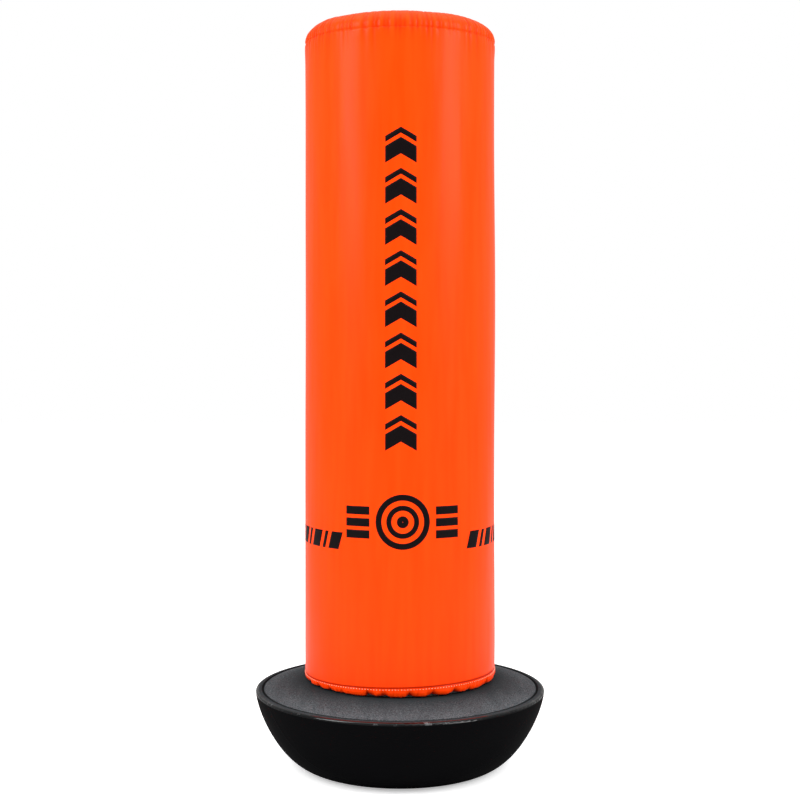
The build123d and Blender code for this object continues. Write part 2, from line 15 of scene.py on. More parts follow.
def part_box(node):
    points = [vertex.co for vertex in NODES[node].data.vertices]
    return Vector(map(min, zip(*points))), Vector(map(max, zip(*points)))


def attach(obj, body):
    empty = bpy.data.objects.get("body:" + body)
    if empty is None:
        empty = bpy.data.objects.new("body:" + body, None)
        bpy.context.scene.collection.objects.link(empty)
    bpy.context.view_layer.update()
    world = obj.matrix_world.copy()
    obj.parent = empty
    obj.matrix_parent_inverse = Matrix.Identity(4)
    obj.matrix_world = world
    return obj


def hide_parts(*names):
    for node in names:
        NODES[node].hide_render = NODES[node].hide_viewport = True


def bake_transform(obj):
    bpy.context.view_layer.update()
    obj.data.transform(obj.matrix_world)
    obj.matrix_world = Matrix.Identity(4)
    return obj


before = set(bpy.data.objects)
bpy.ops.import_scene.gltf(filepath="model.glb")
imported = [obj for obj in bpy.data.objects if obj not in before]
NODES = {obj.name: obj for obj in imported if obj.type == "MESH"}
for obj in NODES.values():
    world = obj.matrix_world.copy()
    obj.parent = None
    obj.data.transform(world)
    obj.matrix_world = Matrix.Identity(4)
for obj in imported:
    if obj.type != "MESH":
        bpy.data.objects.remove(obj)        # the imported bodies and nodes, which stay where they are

bl_info = {
    "name": "Free-standing punching bag",
    "version": (1, 0, 0),
    "blender": (4, 5, 0),
    "location": "View3D > Sidebar > Punching bag",
    "description": "Builds the bag's cover, hem, foam, zip and prints round its frame",
    "category": "Object",
}

MM = 0.001
TAU = 2 * math.pi
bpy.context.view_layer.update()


def high(node):
    """A node's highest corner, in millimetres."""
    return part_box(node)[1] / MM


def low(node):
    """A node's lowest corner, in millimetres."""
    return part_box(node)[0] / MM


def span(node):
    """A node's lowest and highest height, in millimetres."""
    return low(node).z, high(node).z


BAG_RADIUS = high("cover_sleeve").x
SLEEVE_FOOT = low("cover_sleeve").z
SEAM_HEIGHT = high("cover_sleeve").z
BAG_TOP = high("cover_top").z
SHOULDER = BAG_TOP - low("cover_top").z
# The slit over the zip: half its width, and where it begins and ends.
SLIT_HALF = 12.0
SLIT_FOOT = low("zip_tapes").z - 3
SLIT_HEAD = 1640.0
FOAM_RADIUS = high("outer_foam").x
CIRCUMFERENCE = TAU * BAG_RADIUS
VINYL = 1.1  # the cover's cloth is this thick
DEEPEST = 3.2  # and its gathers go in this far at most, which is never down to the foam
STITCH_SHARE = 0.185  # the hem's stitches run this far down it
HALF_SLIT_COLUMNS = 4  # the sleeve's mesh has this many columns across half the slit
# The hem's section, from the sleeve down and under the bag: share of the way, radius and height.
HEM_SECTION = np.array([
    (0, 218.2, 223.4), (0.1, 218.9, 220.6), (0.25, 219.6, 216.5), (0.45, 219.3, 209.5),
    (0.62, 217.6, 203.0), (0.78, 214.4, 199.4), (0.9, 210.0, 198.5), (1, 206.0, 200.2),
]).T


# ---- settings ----------------------------------------------------------------------------


def hex_colour(text):
    """An sRGB hex value as linear red, green, blue and alpha."""
    parts = [int(text[i : i + 2], 16) / 255 for i in (0, 2, 4)]
    linear = [c / 12.92 if c <= 0.04045 else ((c + 0.055) / 1.055) ** 2.4 for c in parts]
    return (*linear, 1.0)


def colour_property(name, description, text):
    """A colour setting whose default is an sRGB hex value."""
    return FloatVectorProperty(
        name=name, description=description, default=hex_colour(text), subtype="COLOR", size=4,
        min=0, max=1,
    )


class BagColours(bpy.types.PropertyGroup):
    vinyl: colour_property("Vinyl", "Colour of the cover", "FF3C00")
    ink: colour_property("Ink", "Colour of the prints", "070304")
    thread: colour_property("Thread", "Colour of the hem's stitches", "FFC49E")
    shell: colour_property("Base", "Colour of the moulded base", "050506")
    floor: colour_property("Floor", "Colour of the studio floor", "FBFBFB")


class BagSizes(bpy.types.PropertyGroup):
    pleats: IntProperty(
        name="Pleats", description="Gathers round the top seam", default=112, min=20, max=200
    )
    pleat_depth: FloatProperty(
        name="Pleat depth", description="How deep a gather is at the seam", default=0.0015,
        min=0, max=0.005, precision=4, subtype="DISTANCE", unit="LENGTH",
    )
    notches: IntProperty(
        name="Notches", description="Pinches in the hem where the elastic draws it in",
        default=29, min=8, max=60,
    )
    notch_depth: FloatProperty(
        name="Notch depth", description="How far a pinch goes in", default=0.0075,
        min=0, max=0.012, precision=4, subtype="DISTANCE", unit="LENGTH",
    )
    stitch_pitch: FloatProperty(
        name="Stitch pitch", description="From one stitch to the next", default=0.0068,
        min=0.002, max=0.01, precision=4, subtype="DISTANCE", unit="LENGTH",
    )


# ---- node trees --------------------------------------------------------------------------


def node(tree, kind, inputs=None, output=0, **settings):
    """Adds a node with its settings and links, and gives back one of its outputs.

    inputs gives each socket a value, or another node's output that feeds it.
    """
    made = tree.nodes.new("ShaderNode" + kind)
    for name, value in settings.items():
        setattr(made, name, value)
    for socket, value in (inputs or {}).items():
        if isinstance(value, bpy.types.NodeSocket):
            tree.links.new(value, made.inputs[socket])
        else:
            made.inputs[socket].default_value = value
    return made.outputs[output] if made.outputs else None


def new_material(name):
    """An empty material, its node tree and the place on the piece that its patterns follow."""
    made = bpy.data.materials.new(name)
    made.use_nodes = True
    made.node_tree.nodes.clear()
    return made, made.node_tree, node(made.node_tree, "TexCoord", output="Object")


def per_metre(size_mm):
    """The texture scale that gives a pattern this size in millimetres."""
    return 1 / (size_mm * MM)


def scaled(colour, factor, lift=0.0):
    """A colour made lighter or darker, with an optional even lift."""
    return (*(min(1.0, c * factor + lift) for c in colour[:3]), 1)


# The part of a noise's range that most of it lies in, for a Map Range node.
MOST = {1: 0.3, 2: 0.7}


# ---- materials ---------------------------------------------------------------------------


def calendered_vinyl(colour):
    """PVC leathercloth, calendered: satin, with a pebble grain and faint lengthwise streaks."""
    made, tree, place = new_material("pvc_leathercloth_calendered")
    # Rolling leaves long soft streaks, which are painted paler as a painted sheen, and use leaves
    # slightly duller clouds.
    lengthwise = node(tree, "Mapping", {"Vector": place, "Scale": (1, 1, 0.08)})
    streak = node(tree, "TexNoise", {"Vector": lengthwise, "Scale": per_metre(16), "Detail": 3})
    cloud = node(tree, "TexNoise", {"Vector": place, "Scale": per_metre(140)})
    cloudy = node(tree, "MapRange", {0: cloud, **MOST})
    body = node(tree, "Mix", {0: cloudy, 6: colour, 7: scaled(colour, 0.94)}, 2, data_type="RGBA")
    # The paler colour along the streaks is a painted sheen.
    paler = (colour[0], colour[1] * 1.3, colour[2] + 0.002, 1)
    painted_sheen_streaks = node(tree, "MapRange", {0: streak, **MOST, 4: 0.5})
    body = node(tree, "Mix", {0: painted_sheen_streaks, 6: body, 7: paler}, 2, data_type="RGBA")
    # Folds are painted darker, a painted shade.
    fold = node(tree, "Attribute", output="Fac", attribute_name="fold")
    shaded = (colour[0] * 0.36, colour[1] * 0.16, colour[2] * 0.2, 1)
    body = node(tree, "Mix", {0: fold, 6: body, 7: shaded}, 2, data_type="RGBA")
    satin = node(tree, "MapRange", {0: streak, **MOST, 3: 0.33, 4: 0.43})
    # The grain is about half a millimetre on real cloth, and is drawn coarser so that it shows.
    pebble = node(
        tree, "TexVoronoi", {"Vector": place, "Scale": per_metre(1.1), "Randomness": 0.9},
        feature="SMOOTH_F1",
    )
    relief = node(tree, "Bump", {"Height": pebble, "Distance": 0.05 * MM, "Strength": 0.5})
    drawn = node(tree, "Mapping", {"Vector": place, "Scale": (1, 1, 0.12)})
    pull = node(tree, "TexNoise", {"Vector": drawn, "Scale": per_metre(9)})
    relief = node(
        tree, "Bump", {"Height": pull, "Distance": 0.12 * MM, "Strength": 0.6, "Normal": relief}
    )
    shader = node(tree, "BsdfPrincipled", {
        "Base Color": body, "Roughness": satin, "Normal": relief, "IOR": 1.5,
        "Specular IOR Level": 0.045, "Coat Weight": 0.035, "Coat Roughness": 0.25,
        "Sheen Weight": 0.03, "Sheen Roughness": 0.3,
    })
    node(tree, "OutputMaterial", {"Surface": shader})
    return made


def printed_ink(colour):
    """Vinyl ink, screen printed: flat black, mottled by the cloth's grain, here drawn coarser."""
    made, tree, place = new_material("vinyl_ink_screen_printed")
    grain = node(tree, "TexNoise", {"Vector": place, "Scale": per_metre(1.4), "Detail": 3})
    mottle = node(tree, "MapRange", {0: grain, **MOST})
    worn = scaled(colour, 1.5, 0.002)
    body = node(tree, "Mix", {0: mottle, 6: colour, 7: worn}, 2, data_type="RGBA")
    patch = node(tree, "TexNoise", {"Vector": place, "Scale": per_metre(30)})
    dry = node(tree, "MapRange", {0: patch, **MOST, 3: 0.42, 4: 0.55})
    relief = node(tree, "Bump", {"Height": grain, "Distance": 0.04 * MM, "Strength": 0.5})
    shader = node(tree, "BsdfPrincipled", {
        "Base Color": body, "Roughness": dry, "Normal": relief, "IOR": 1.48,
        "Specular IOR Level": 0.05,
    })
    node(tree, "OutputMaterial", {"Surface": shader})
    return made


def twisted_thread(colour):
    """Bonded polyester thread, twisted: pale, with slanting plies drawn coarser than they are."""
    made, tree, place = new_material("polyester_thread_twisted")
    ply = node(
        tree, "TexWave", {"Vector": place, "Scale": per_metre(2.4), "Distortion": 0.6}, "Fac",
        wave_type="BANDS", bands_direction="DIAGONAL",
    )
    body = node(tree, "Mix", {0: ply, 6: scaled(colour, 0.72), 7: colour}, 2, data_type="RGBA")
    rough = node(tree, "MapRange", {0: ply, 3: 0.5, 4: 0.7})
    relief = node(tree, "Bump", {"Height": ply, "Distance": 0.1 * MM, "Strength": 0.7})
    shader = node(tree, "BsdfPrincipled", {
        "Base Color": body, "Roughness": rough, "Normal": relief, "IOR": 1.5, "Sheen Weight": 0.3,
    })
    node(tree, "OutputMaterial", {"Surface": shader})
    return made


def rotomoulded_shell(colour):
    """Polyethylene, rotomoulded: a grained, greyish deck in a smooth, deep black lip and bowl."""
    made, tree, place = new_material("polyethylene_rotomoulded")
    # The rim's outer edge, and the height at which the bowl's side turns in to it, in metres.
    rim, rim_foot = high("base_shell").x * MM, 0.167
    height = node(tree, "SeparateXYZ", {"Vector": place}, "Z")
    level = node(tree, "Mapping", {"Vector": place, "Scale": (1, 1, 0)})
    radius = node(tree, "VectorMath", {0: level}, "Value", operation="LENGTH")
    deck = node(tree, "MapRange", {0: height, 1: rim_foot, 2: rim_foot + 0.004})
    unshaded_deck = node(tree, "MapRange", {0: radius, 1: 0.64 * rim, 2: 0.9 * rim})
    lip = node(tree, "MapRange", {0: radius, 1: 0.938 * rim, 2: 0.962 * rim})
    edge = node(tree, "MapRange", {0: radius, 1: 0.975 * rim, 2: 0.985 * rim})
    # The powder's grain shows on the deck as a mottle, with paler flecks and drag marks. It is
    # drawn several times coarser than the powder, so that it shows.
    grain = node(
        tree, "TexNoise",
        {"Vector": place, "Scale": per_metre(3.2), "Detail": 5, "Roughness": 0.72},
    )
    fleck = node(tree, "TexNoise", {"Vector": place, "Scale": per_metre(2.2), "Roughness": 0.6})
    dragged = node(tree, "Mapping", {"Vector": place, "Scale": (1, 0.22, 1)})
    drag = node(tree, "TexNoise", {"Vector": dragged, "Scale": per_metre(26), "Detail": 4})
    grained = node(tree, "MapRange", {0: grain, 1: 0.4, 2: 0.62})
    flecked = node(tree, "MapRange", {0: fleck, 1: 0.58, 2: 0.72, 4: 0.6})
    smeared = node(tree, "MapRange", {0: drag, **MOST, 4: 0.45})
    grey = hex_colour("303437")
    for share, tone in ((grained, "5B6164"), (flecked, "8D9396"), (smeared, "33383B")):
        grey = node(tree, "Mix", {0: share, 6: grey, 7: hex_colour(tone)}, 2, data_type="RGBA")
    # The deck is painted darker under and near the bag, a painted shade from the bag, the lip is
    # smoother and darker again, and the groove between them is painted near black, a painted shade.
    grey = node(
        tree, "Mix", {0: unshaded_deck, 6: hex_colour("232729"), 7: grey}, 2, data_type="RGBA"
    )
    on_lip = node(tree, "MapRange", {0: lip, 4: 0.75})
    grey = node(tree, "Mix", {0: on_lip, 6: grey, 7: hex_colour("25292B")}, 2, data_type="RGBA")
    # The groove's near-black band is a painted shade.
    not_lip = node(tree, "Math", {0: 1.0, 1: lip}, operation="SUBTRACT")
    groove = node(tree, "Math", {0: lip, 1: not_lip}, operation="MULTIPLY")
    groove = node(tree, "MapRange", {0: groove, 2: 0.2, 4: 0.9})
    grey = node(tree, "Mix", {0: groove, 6: grey, 7: hex_colour("08090A")}, 2, data_type="RGBA")
    grey = node(tree, "Mix", {0: edge, 6: grey, 7: hex_colour("0B0C0D")}, 2, data_type="RGBA")
    # Knocks leave pale scuffs here and there along the rim, and these pale marks also stand in for
    # the rim's broken highlights, a painted highlight.
    knock = node(
        tree, "TexNoise", {"Vector": place, "Scale": per_metre(24), "Detail": 5, "Roughness": 0.7}
    )
    scuff_and_highlight = node(tree, "MapRange", {0: knock, 1: 0.57, 2: 0.68, 4: 0.4})
    scuff_and_highlight = node(tree, "Math", {0: scuff_and_highlight, 1: edge}, operation="MULTIPLY")
    grey = node(
        tree, "Mix", {0: scuff_and_highlight, 6: grey, 7: hex_colour("8E9294")}, 2, data_type="RGBA"
    )
    body = node(tree, "Mix", {0: deck, 6: colour, 7: grey}, 2, data_type="RGBA")
    cloud = node(tree, "TexNoise", {"Vector": place, "Scale": per_metre(60), "Detail": 3})
    smooth = node(tree, "MapRange", {0: cloud, **MOST, 3: 0.3, 4: 0.42})
    dull = node(tree, "MapRange", {0: grain, **MOST, 3: 0.42, 4: 0.6})
    rough = node(tree, "Mix", {0: deck, 2: smooth, 3: dull})
    # Handling polishes the rounding of the rim, more in some places than others.
    rounding = node(tree, "Math", {0: edge, 1: deck}, operation="MULTIPLY")
    handled = node(tree, "TexNoise", {"Vector": place, "Scale": per_metre(45), "Detail": 3})
    worn = node(tree, "MapRange", {0: handled, **MOST, 3: 0.5, 4: 1.0})
    gloss = node(tree, "Math", {0: rounding, 1: worn}, operation="MULTIPLY")
    polish = node(tree, "MapRange", {0: gloss, 3: 0.03, 4: 0.8})
    flat_lip = node(tree, "MapRange", {0: lip, 3: 1.0, 4: 0.25})
    relief_share = node(tree, "Math", {0: deck, 1: flat_lip}, operation="MULTIPLY")
    relief = node(tree, "Math", {0: grain, 1: relief_share}, operation="MULTIPLY")
    relief = node(tree, "Bump", {"Height": relief, "Distance": 0.6 * MM, "Strength": 0.7})
    shader = node(tree, "BsdfPrincipled", {
        "Base Color": body, "Roughness": rough, "Normal": relief, "IOR": 1.51,
        "Specular IOR Level": 0.0, "Coat Weight": polish, "Coat Roughness": 0.07,
    })
    node(tree, "OutputMaterial", {"Surface": shader})
    return made


def cut_foam(colour):
    """Polyurethane foam, cut from block: cream and dull, its open cells drawn coarser to show."""
    made, tree, place = new_material("polyurethane_foam_cut")
    cells = node(tree, "TexVoronoi", {"Vector": place, "Scale": per_metre(2.2)})
    body = node(tree, "Mix", {0: cells, 6: scaled(colour, 0.6), 7: colour}, 2, data_type="RGBA")
    patch = node(tree, "TexNoise", {"Vector": place, "Scale": per_metre(8)})
    rough = node(tree, "MapRange", {0: patch, **MOST, 3: 0.85, 4: 0.98})
    relief = node(tree, "Bump", {"Height": cells, "Distance": 0.8 * MM, "Strength": 0.8})
    shader = node(tree, "BsdfPrincipled", {
        "Base Color": body, "Roughness": rough, "Normal": relief, "IOR": 1.4,
        "Specular IOR Level": 0.2,
    })
    node(tree, "OutputMaterial", {"Surface": shader})
    return made


def drawn_metal(name, colour, grain_mm, rough_low, rough_high, along=(1, 1, 0.06)):
    """Metal: the marks of how it was drawn or turned, duller where it is handled."""
    made, tree, place = new_material(name)
    lengthwise = node(tree, "Mapping", {"Vector": place, "Scale": along})
    drawn = node(
        tree, "TexNoise",
        {"Vector": lengthwise, "Scale": per_metre(grain_mm), "Detail": 4, "Roughness": 0.6},
    )
    touched = node(tree, "TexNoise", {"Vector": place, "Scale": per_metre(18), "Detail": 3})
    handled = node(tree, "MapRange", {0: touched, **MOST})
    body = node(
        tree, "Mix", {0: handled, 6: colour, 7: scaled(colour, 0.78)}, 2, data_type="RGBA"
    )
    rough = node(tree, "MapRange", {0: drawn, **MOST, 3: rough_low, 4: rough_high})
    relief = node(tree, "Bump", {"Height": drawn, "Distance": 0.03 * MM, "Strength": 0.5})
    shader = node(tree, "BsdfPrincipled", {
        "Base Color": body, "Roughness": rough, "Normal": relief, "Metallic": 1.0,
    })
    node(tree, "OutputMaterial", {"Surface": shader})
    return made


def moulded_skin(name, colour, grain_mm, depth_mm, rough_low, rough_high, specular=0.5):
    """A moulded or coated skin: one colour that clouds slightly over a fine orange peel."""
    made, tree, place = new_material(name)
    peel = node(
        tree, "TexNoise",
        {"Vector": place, "Scale": per_metre(grain_mm), "Detail": 3, "Roughness": 0.6},
    )
    cloud = node(tree, "TexNoise", {"Vector": place, "Scale": per_metre(35), "Detail": 3})
    cloudy = node(tree, "MapRange", {0: cloud, **MOST})
    paler = scaled(colour, 1.35, 0.004)
    body = node(tree, "Mix", {0: cloudy, 6: colour, 7: paler}, 2, data_type="RGBA")
    rough = node(tree, "MapRange", {0: peel, **MOST, 3: rough_low, 4: rough_high})
    relief = node(tree, "Bump", {"Height": peel, "Distance": depth_mm * MM, "Strength": 0.6})
    shader = node(tree, "BsdfPrincipled", {
        "Base Color": body, "Roughness": rough, "Normal": relief, "IOR": 1.5,
        "Specular IOR Level": specular,
    })
    node(tree, "OutputMaterial", {"Surface": shader})
    return made


def washed_sand(colour):
    """Quartz sand, washed: dull grains of several shades, drawn coarser so that they show."""
    made, tree, place = new_material("quartz_sand_washed")
    grain = {"Vector": place, "Scale": per_metre(1.2)}
    height = node(tree, "TexVoronoi", grain)
    shade = node(tree, "SeparateXYZ", {"Vector": node(tree, "TexVoronoi", grain, "Color")})
    dark, pale = scaled(colour, 0.6), scaled(colour, 1.2)
    body = node(tree, "Mix", {0: shade, 6: dark, 7: pale}, 2, data_type="RGBA")
    rough = node(tree, "MapRange", {0: shade, 3: 0.7, 4: 0.95})
    relief = node(tree, "Bump", {"Height": height, "Distance": 0.8 * MM, "Strength": 0.7})
    shader = node(tree, "BsdfPrincipled", {
        "Base Color": body, "Roughness": rough, "Normal": relief, "IOR": 1.54,
        "Specular IOR Level": 0.25,
    })
    node(tree, "OutputMaterial", {"Surface": shader})
    return made


def woven_yarn(name, colour, yarn_mm):
    """Polyester yarn, woven or braided: threads that cross and catch a little light."""
    made, tree, place = new_material(name)
    scale = per_metre(yarn_mm) / TAU  # a wave's bands are a turn apart at a scale of one
    bands = {"Vector": place, "Scale": scale, "Distortion": 0.3}
    warp = node(tree, "TexWave", bands, "Fac", bands_direction="X")
    weft = node(tree, "TexWave", bands, "Fac", bands_direction="Z")
    weave = node(tree, "Math", {0: warp, 1: weft}, operation="MULTIPLY")
    dark, pale = scaled(colour, 0.5), scaled(colour, 1.6, 0.01)
    body = node(tree, "Mix", {0: weave, 6: dark, 7: pale}, 2, data_type="RGBA")
    rough = node(tree, "MapRange", {0: weave, 3: 0.65, 4: 0.9})
    relief = node(tree, "Bump", {"Height": weave, "Distance": 0.25 * MM, "Strength": 0.8})
    shader = node(tree, "BsdfPrincipled", {
        "Base Color": body, "Roughness": rough, "Normal": relief, "IOR": 1.5,
        "Specular IOR Level": 0.3, "Sheen Weight": 0.25,
    })
    node(tree, "OutputMaterial", {"Surface": shader})
    return made


def make_materials(colours):
    """Every finish, by the name that the pieces use."""
    steel, nickel = hex_colour("C4C6C8"), hex_colour("D2CFC8")
    even = (1, 1, 1)
    return {
        "vinyl": calendered_vinyl(tuple(colours.vinyl)),
        "ink": printed_ink(tuple(colours.ink)),
        "thread": twisted_thread(tuple(colours.thread)),
        "shell": rotomoulded_shell(tuple(colours.shell)),
        "soft_foam": cut_foam(hex_colour("EFE6CF")),
        # Extruding leaves the firm foam a skin of fine closed cells.
        "firm_foam": moulded_skin(
            "polyethylene_foam_extruded", hex_colour("6B6E70"), 1.6, 0.4, 0.6, 0.8, 0.3
        ),
        "zinc": drawn_metal("steel_zinc_plated", steel, 1.2, 0.28, 0.5),
        "nickel": drawn_metal("zinc_nickel_plated", nickel, 0.8, 0.18, 0.34, even),
        "brass": drawn_metal("brass_turned", hex_colour("D9B45C"), 0.6, 0.25, 0.42),
        "bronze": drawn_metal("bronze_sintered", hex_colour("B07A4A"), 0.9, 0.45, 0.65, even),
        # Powder melts into a skin with a soft orange peel, and lacquer into a finer, glossier one.
        "coated_steel": moulded_skin(
            "steel_powder_coated", hex_colour("151517"), 1.8, 0.12, 0.35, 0.5
        ),
        "spring_steel": moulded_skin(
            "spring_steel_lacquered", hex_colour("1C1D1F"), 1.4, 0.08, 0.28, 0.42
        ),
        # Rubber and moulded plastic take the mould's finish: rubber the dullest, the cap waxy.
        "rubber": moulded_skin("rubber_moulded", hex_colour("19191A"), 0.9, 0.08, 0.7, 0.85, 0.3),
        "abs": moulded_skin("abs_injection_moulded", hex_colour("1A1A1C"), 0.8, 0.06, 0.45, 0.6),
        "cap_plastic": moulded_skin(
            "polyethylene_injection_moulded", hex_colour("131516"), 1.0, 0.08, 0.38, 0.55, 0.15
        ),
        "pipe": moulded_skin("pvc_extruded", hex_colour("8B8E90"), 2.5, 0.05, 0.4, 0.55),
        "nylon": moulded_skin("nylon_drawn", hex_colour("121213"), 0.6, 0.03, 0.3, 0.45),
        "sand": washed_sand(hex_colour("C9B48C")),
        "tape": woven_yarn("polyester_tape_woven", hex_colour("1B1B1D"), 0.9),
        "elastic": woven_yarn("elastic_cord_braided", hex_colour("202022"), 1.2),
    }


MATERIALS = {}

CAD_FINISH = {
    "shell": ["base_shell"],
    "sand": ["ballast"],
    "brass": ["deck_inserts"],
    "bronze": ["thrust_washer", "hub_bushes"],
    "zinc": ["flange_washers", "flange_bolts", "post_washer", "post_nut", "tray_screws",
             "tube_bolt", "tube_nut"],
    "coated_steel": ["neck_flange", "swivel_hub", "core_plug"],
    "abs": ["bag_floor", "tube_cap"],
    "rubber": ["bump_stop", "filler_gasket"],
    "pipe": ["core_tube"],
    "nickel": ["zip_slider", "zip_pull", "zip_stops"],
    "cap_plastic": ["filler_cap"],
}


# ---- meshes ------------------------------------------------------------------------------


def wrap_faces(rows, columns, wrap_rows=False, wrap_columns=True):
    """Quads over a grid of points whose rows, columns or both join end to end."""
    r = np.arange(rows if wrap_rows else rows - 1)
    c = np.arange(columns if wrap_columns else columns - 1)
    r, c = (a.ravel() for a in np.meshgrid(r, c, indexing="ij"))
    up, over = (r + 1) % rows, (c + 1) % columns
    corners = (r * columns + c, r * columns + over, up * columns + over, up * columns + c)
    return np.stack(corners, 1)


def tube_faces(rings, sides):
    """The faces of a tube of rings of points, closed at both ends."""
    last = (rings - 1) * sides
    ends = [list(range(sides))[::-1], [last + i for i in range(sides)]]
    return wrap_faces(rings, sides).tolist() + ends


def joined(parts):
    """Several (points, faces) as one."""
    points, faces, start = [], [], 0
    for part_points, part_faces in parts:
        points.append(part_points)
        faces += [[start + i for i in face] for face in part_faces]
        start += len(part_points)
    return np.concatenate(points), faces


def make_piece(name, points_mm, faces, finish, slot_name, body=None):
    """A mesh object from points in millimetres, with its finish and body; slot_name is not used."""
    mesh = bpy.data.meshes.new(name)
    points = (np.asarray(points_mm).reshape(-1, 3) * MM).tolist()
    mesh.from_pydata(points, [], [list(face) for face in faces])
    mesh.polygons.foreach_set("use_smooth", [True] * len(mesh.polygons))
    mesh.validate()
    mesh.materials.append(MATERIALS[finish])
    piece = bpy.data.objects.new(name, mesh)
    bpy.context.scene.collection.objects.link(piece)
    if body:
        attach(piece, body)
    return piece


def mark(piece, name, values):
    """Stores a number at each point, for the material to read."""
    attribute = piece.data.attributes.new(name, "FLOAT", "POINT")
    attribute.data.foreach_set("value", np.asarray(values, np.float32).ravel())


def thicken(piece, thickness_mm):
    """Gives a sheet its thickness, inwards, as mesh."""
    shell = piece.modifiers.new("thickness", "SOLIDIFY")
    shell.thickness = thickness_mm * MM
    shell.offset = -1
    shell.use_even_offset = False
    bpy.context.view_layer.update()
    graph = bpy.context.evaluated_depsgraph_get()
    solid = bpy.data.meshes.new_from_object(
        piece.evaluated_get(graph), preserve_all_data_layers=True, depsgraph=graph
    )
    thin = piece.data
    piece.modifiers.clear()
    piece.data = solid
    bpy.data.meshes.remove(thin)
    solid.name = piece.name


def round_the_bag(bearing, radius, height):
    """Points in millimetres at these bearings, radii and heights."""
    x, y = radius * np.sin(bearing), -radius * np.cos(bearing)
    return np.stack([x, y, height + 0 * radius], -1)


def nearest_turn(angle):
    """An angle brought between minus and plus half a turn."""
    return (angle + math.pi) % TAU - math.pi


def dents(bearing, places, widths_mm):
    """For each place, how much of its dent each bearing has, from 0 to 1."""
    away = np.abs(nearest_turn(bearing[None, :] - places[:, None])) * BAG_RADIUS
    return np.exp(-((away / widths_mm[:, None]) ** 2))


def uneven_places(rng, count, jitter):
    """Bearings round the bag, about evenly spaced."""
    step = TAU / count
    return (np.arange(count) + rng.uniform(-jitter, jitter, count)) * step - math.pi


def slack(bearing, height):
    """The cover's slow unevenness, in millimetres: it isn't pulled quite tight anywhere."""
    rng = np.random.default_rng(11)
    total = 0
    for turns, length_mm, size in (
        (2, 1900, 0.5), (3, 1100, 0.45), (5, 760, 0.35), (7, 900, 0.25), (11, 520, 0.16),
        (17, 640, 0.1), (26, 420, 0.06), (41, 800, 0.045), (58, 1200, 0.03),
    ):
        for part in (0, 1):
            around = np.cos((turns + part) * bearing + rng.uniform(0, TAU))
            total = total + size * around * np.cos(TAU * height / length_mm + rng.uniform(0, TAU))
    return total


def sleeve_columns(count):
    """Bearings round the sleeve, from the middle of the slit round to it again."""
    edge = math.asin(SLIT_HALF / BAG_RADIUS)
    across = np.linspace(0, edge, HALF_SLIT_COLUMNS + 1)[:-1]
    rest = np.linspace(-math.pi + edge, math.pi - edge, count - 2 * HALF_SLIT_COLUMNS)
    return np.concatenate([-math.pi + across, rest, math.pi - across[::-1]])[:-1]


class Gathers:
    """The gathers that the sleeve and the top panel share at their seam."""

    def __init__(self, sizes):
        rng = np.random.default_rng(5)
        n = sizes.pleats
        self.places = uneven_places(rng, n, 0.32)
        # Over the sides the pleats are fuller and longer; at the front they are short and sharp.
        side = np.sin(self.places) ** 2
        front = np.exp(-((self.places / 0.3) ** 4))
        fullness = 1 + 0.9 * side + 1.1 * front
        self.depths = sizes.pleat_depth / MM * rng.uniform(0.35, 1.25, n) * fullness
        self.widths = rng.uniform(2.6, 4.6, n)
        self.below = rng.uniform(7, 26, n) * (1 - 0.35 * front)
        self.above = rng.uniform(22, 60, n) * (1 + 0.3 * side - 0.4 * front)

    def depth(self, bearing, distance_mm, reach):
        """Depths on a grid: one row for each distance from the seam."""
        fade = np.exp(-distance_mm[:, None] / reach[None, :]) * self.depths
        deep = fade @ dents(bearing, self.places, self.widths)
        return DEEPEST * np.tanh(deep / DEEPEST)


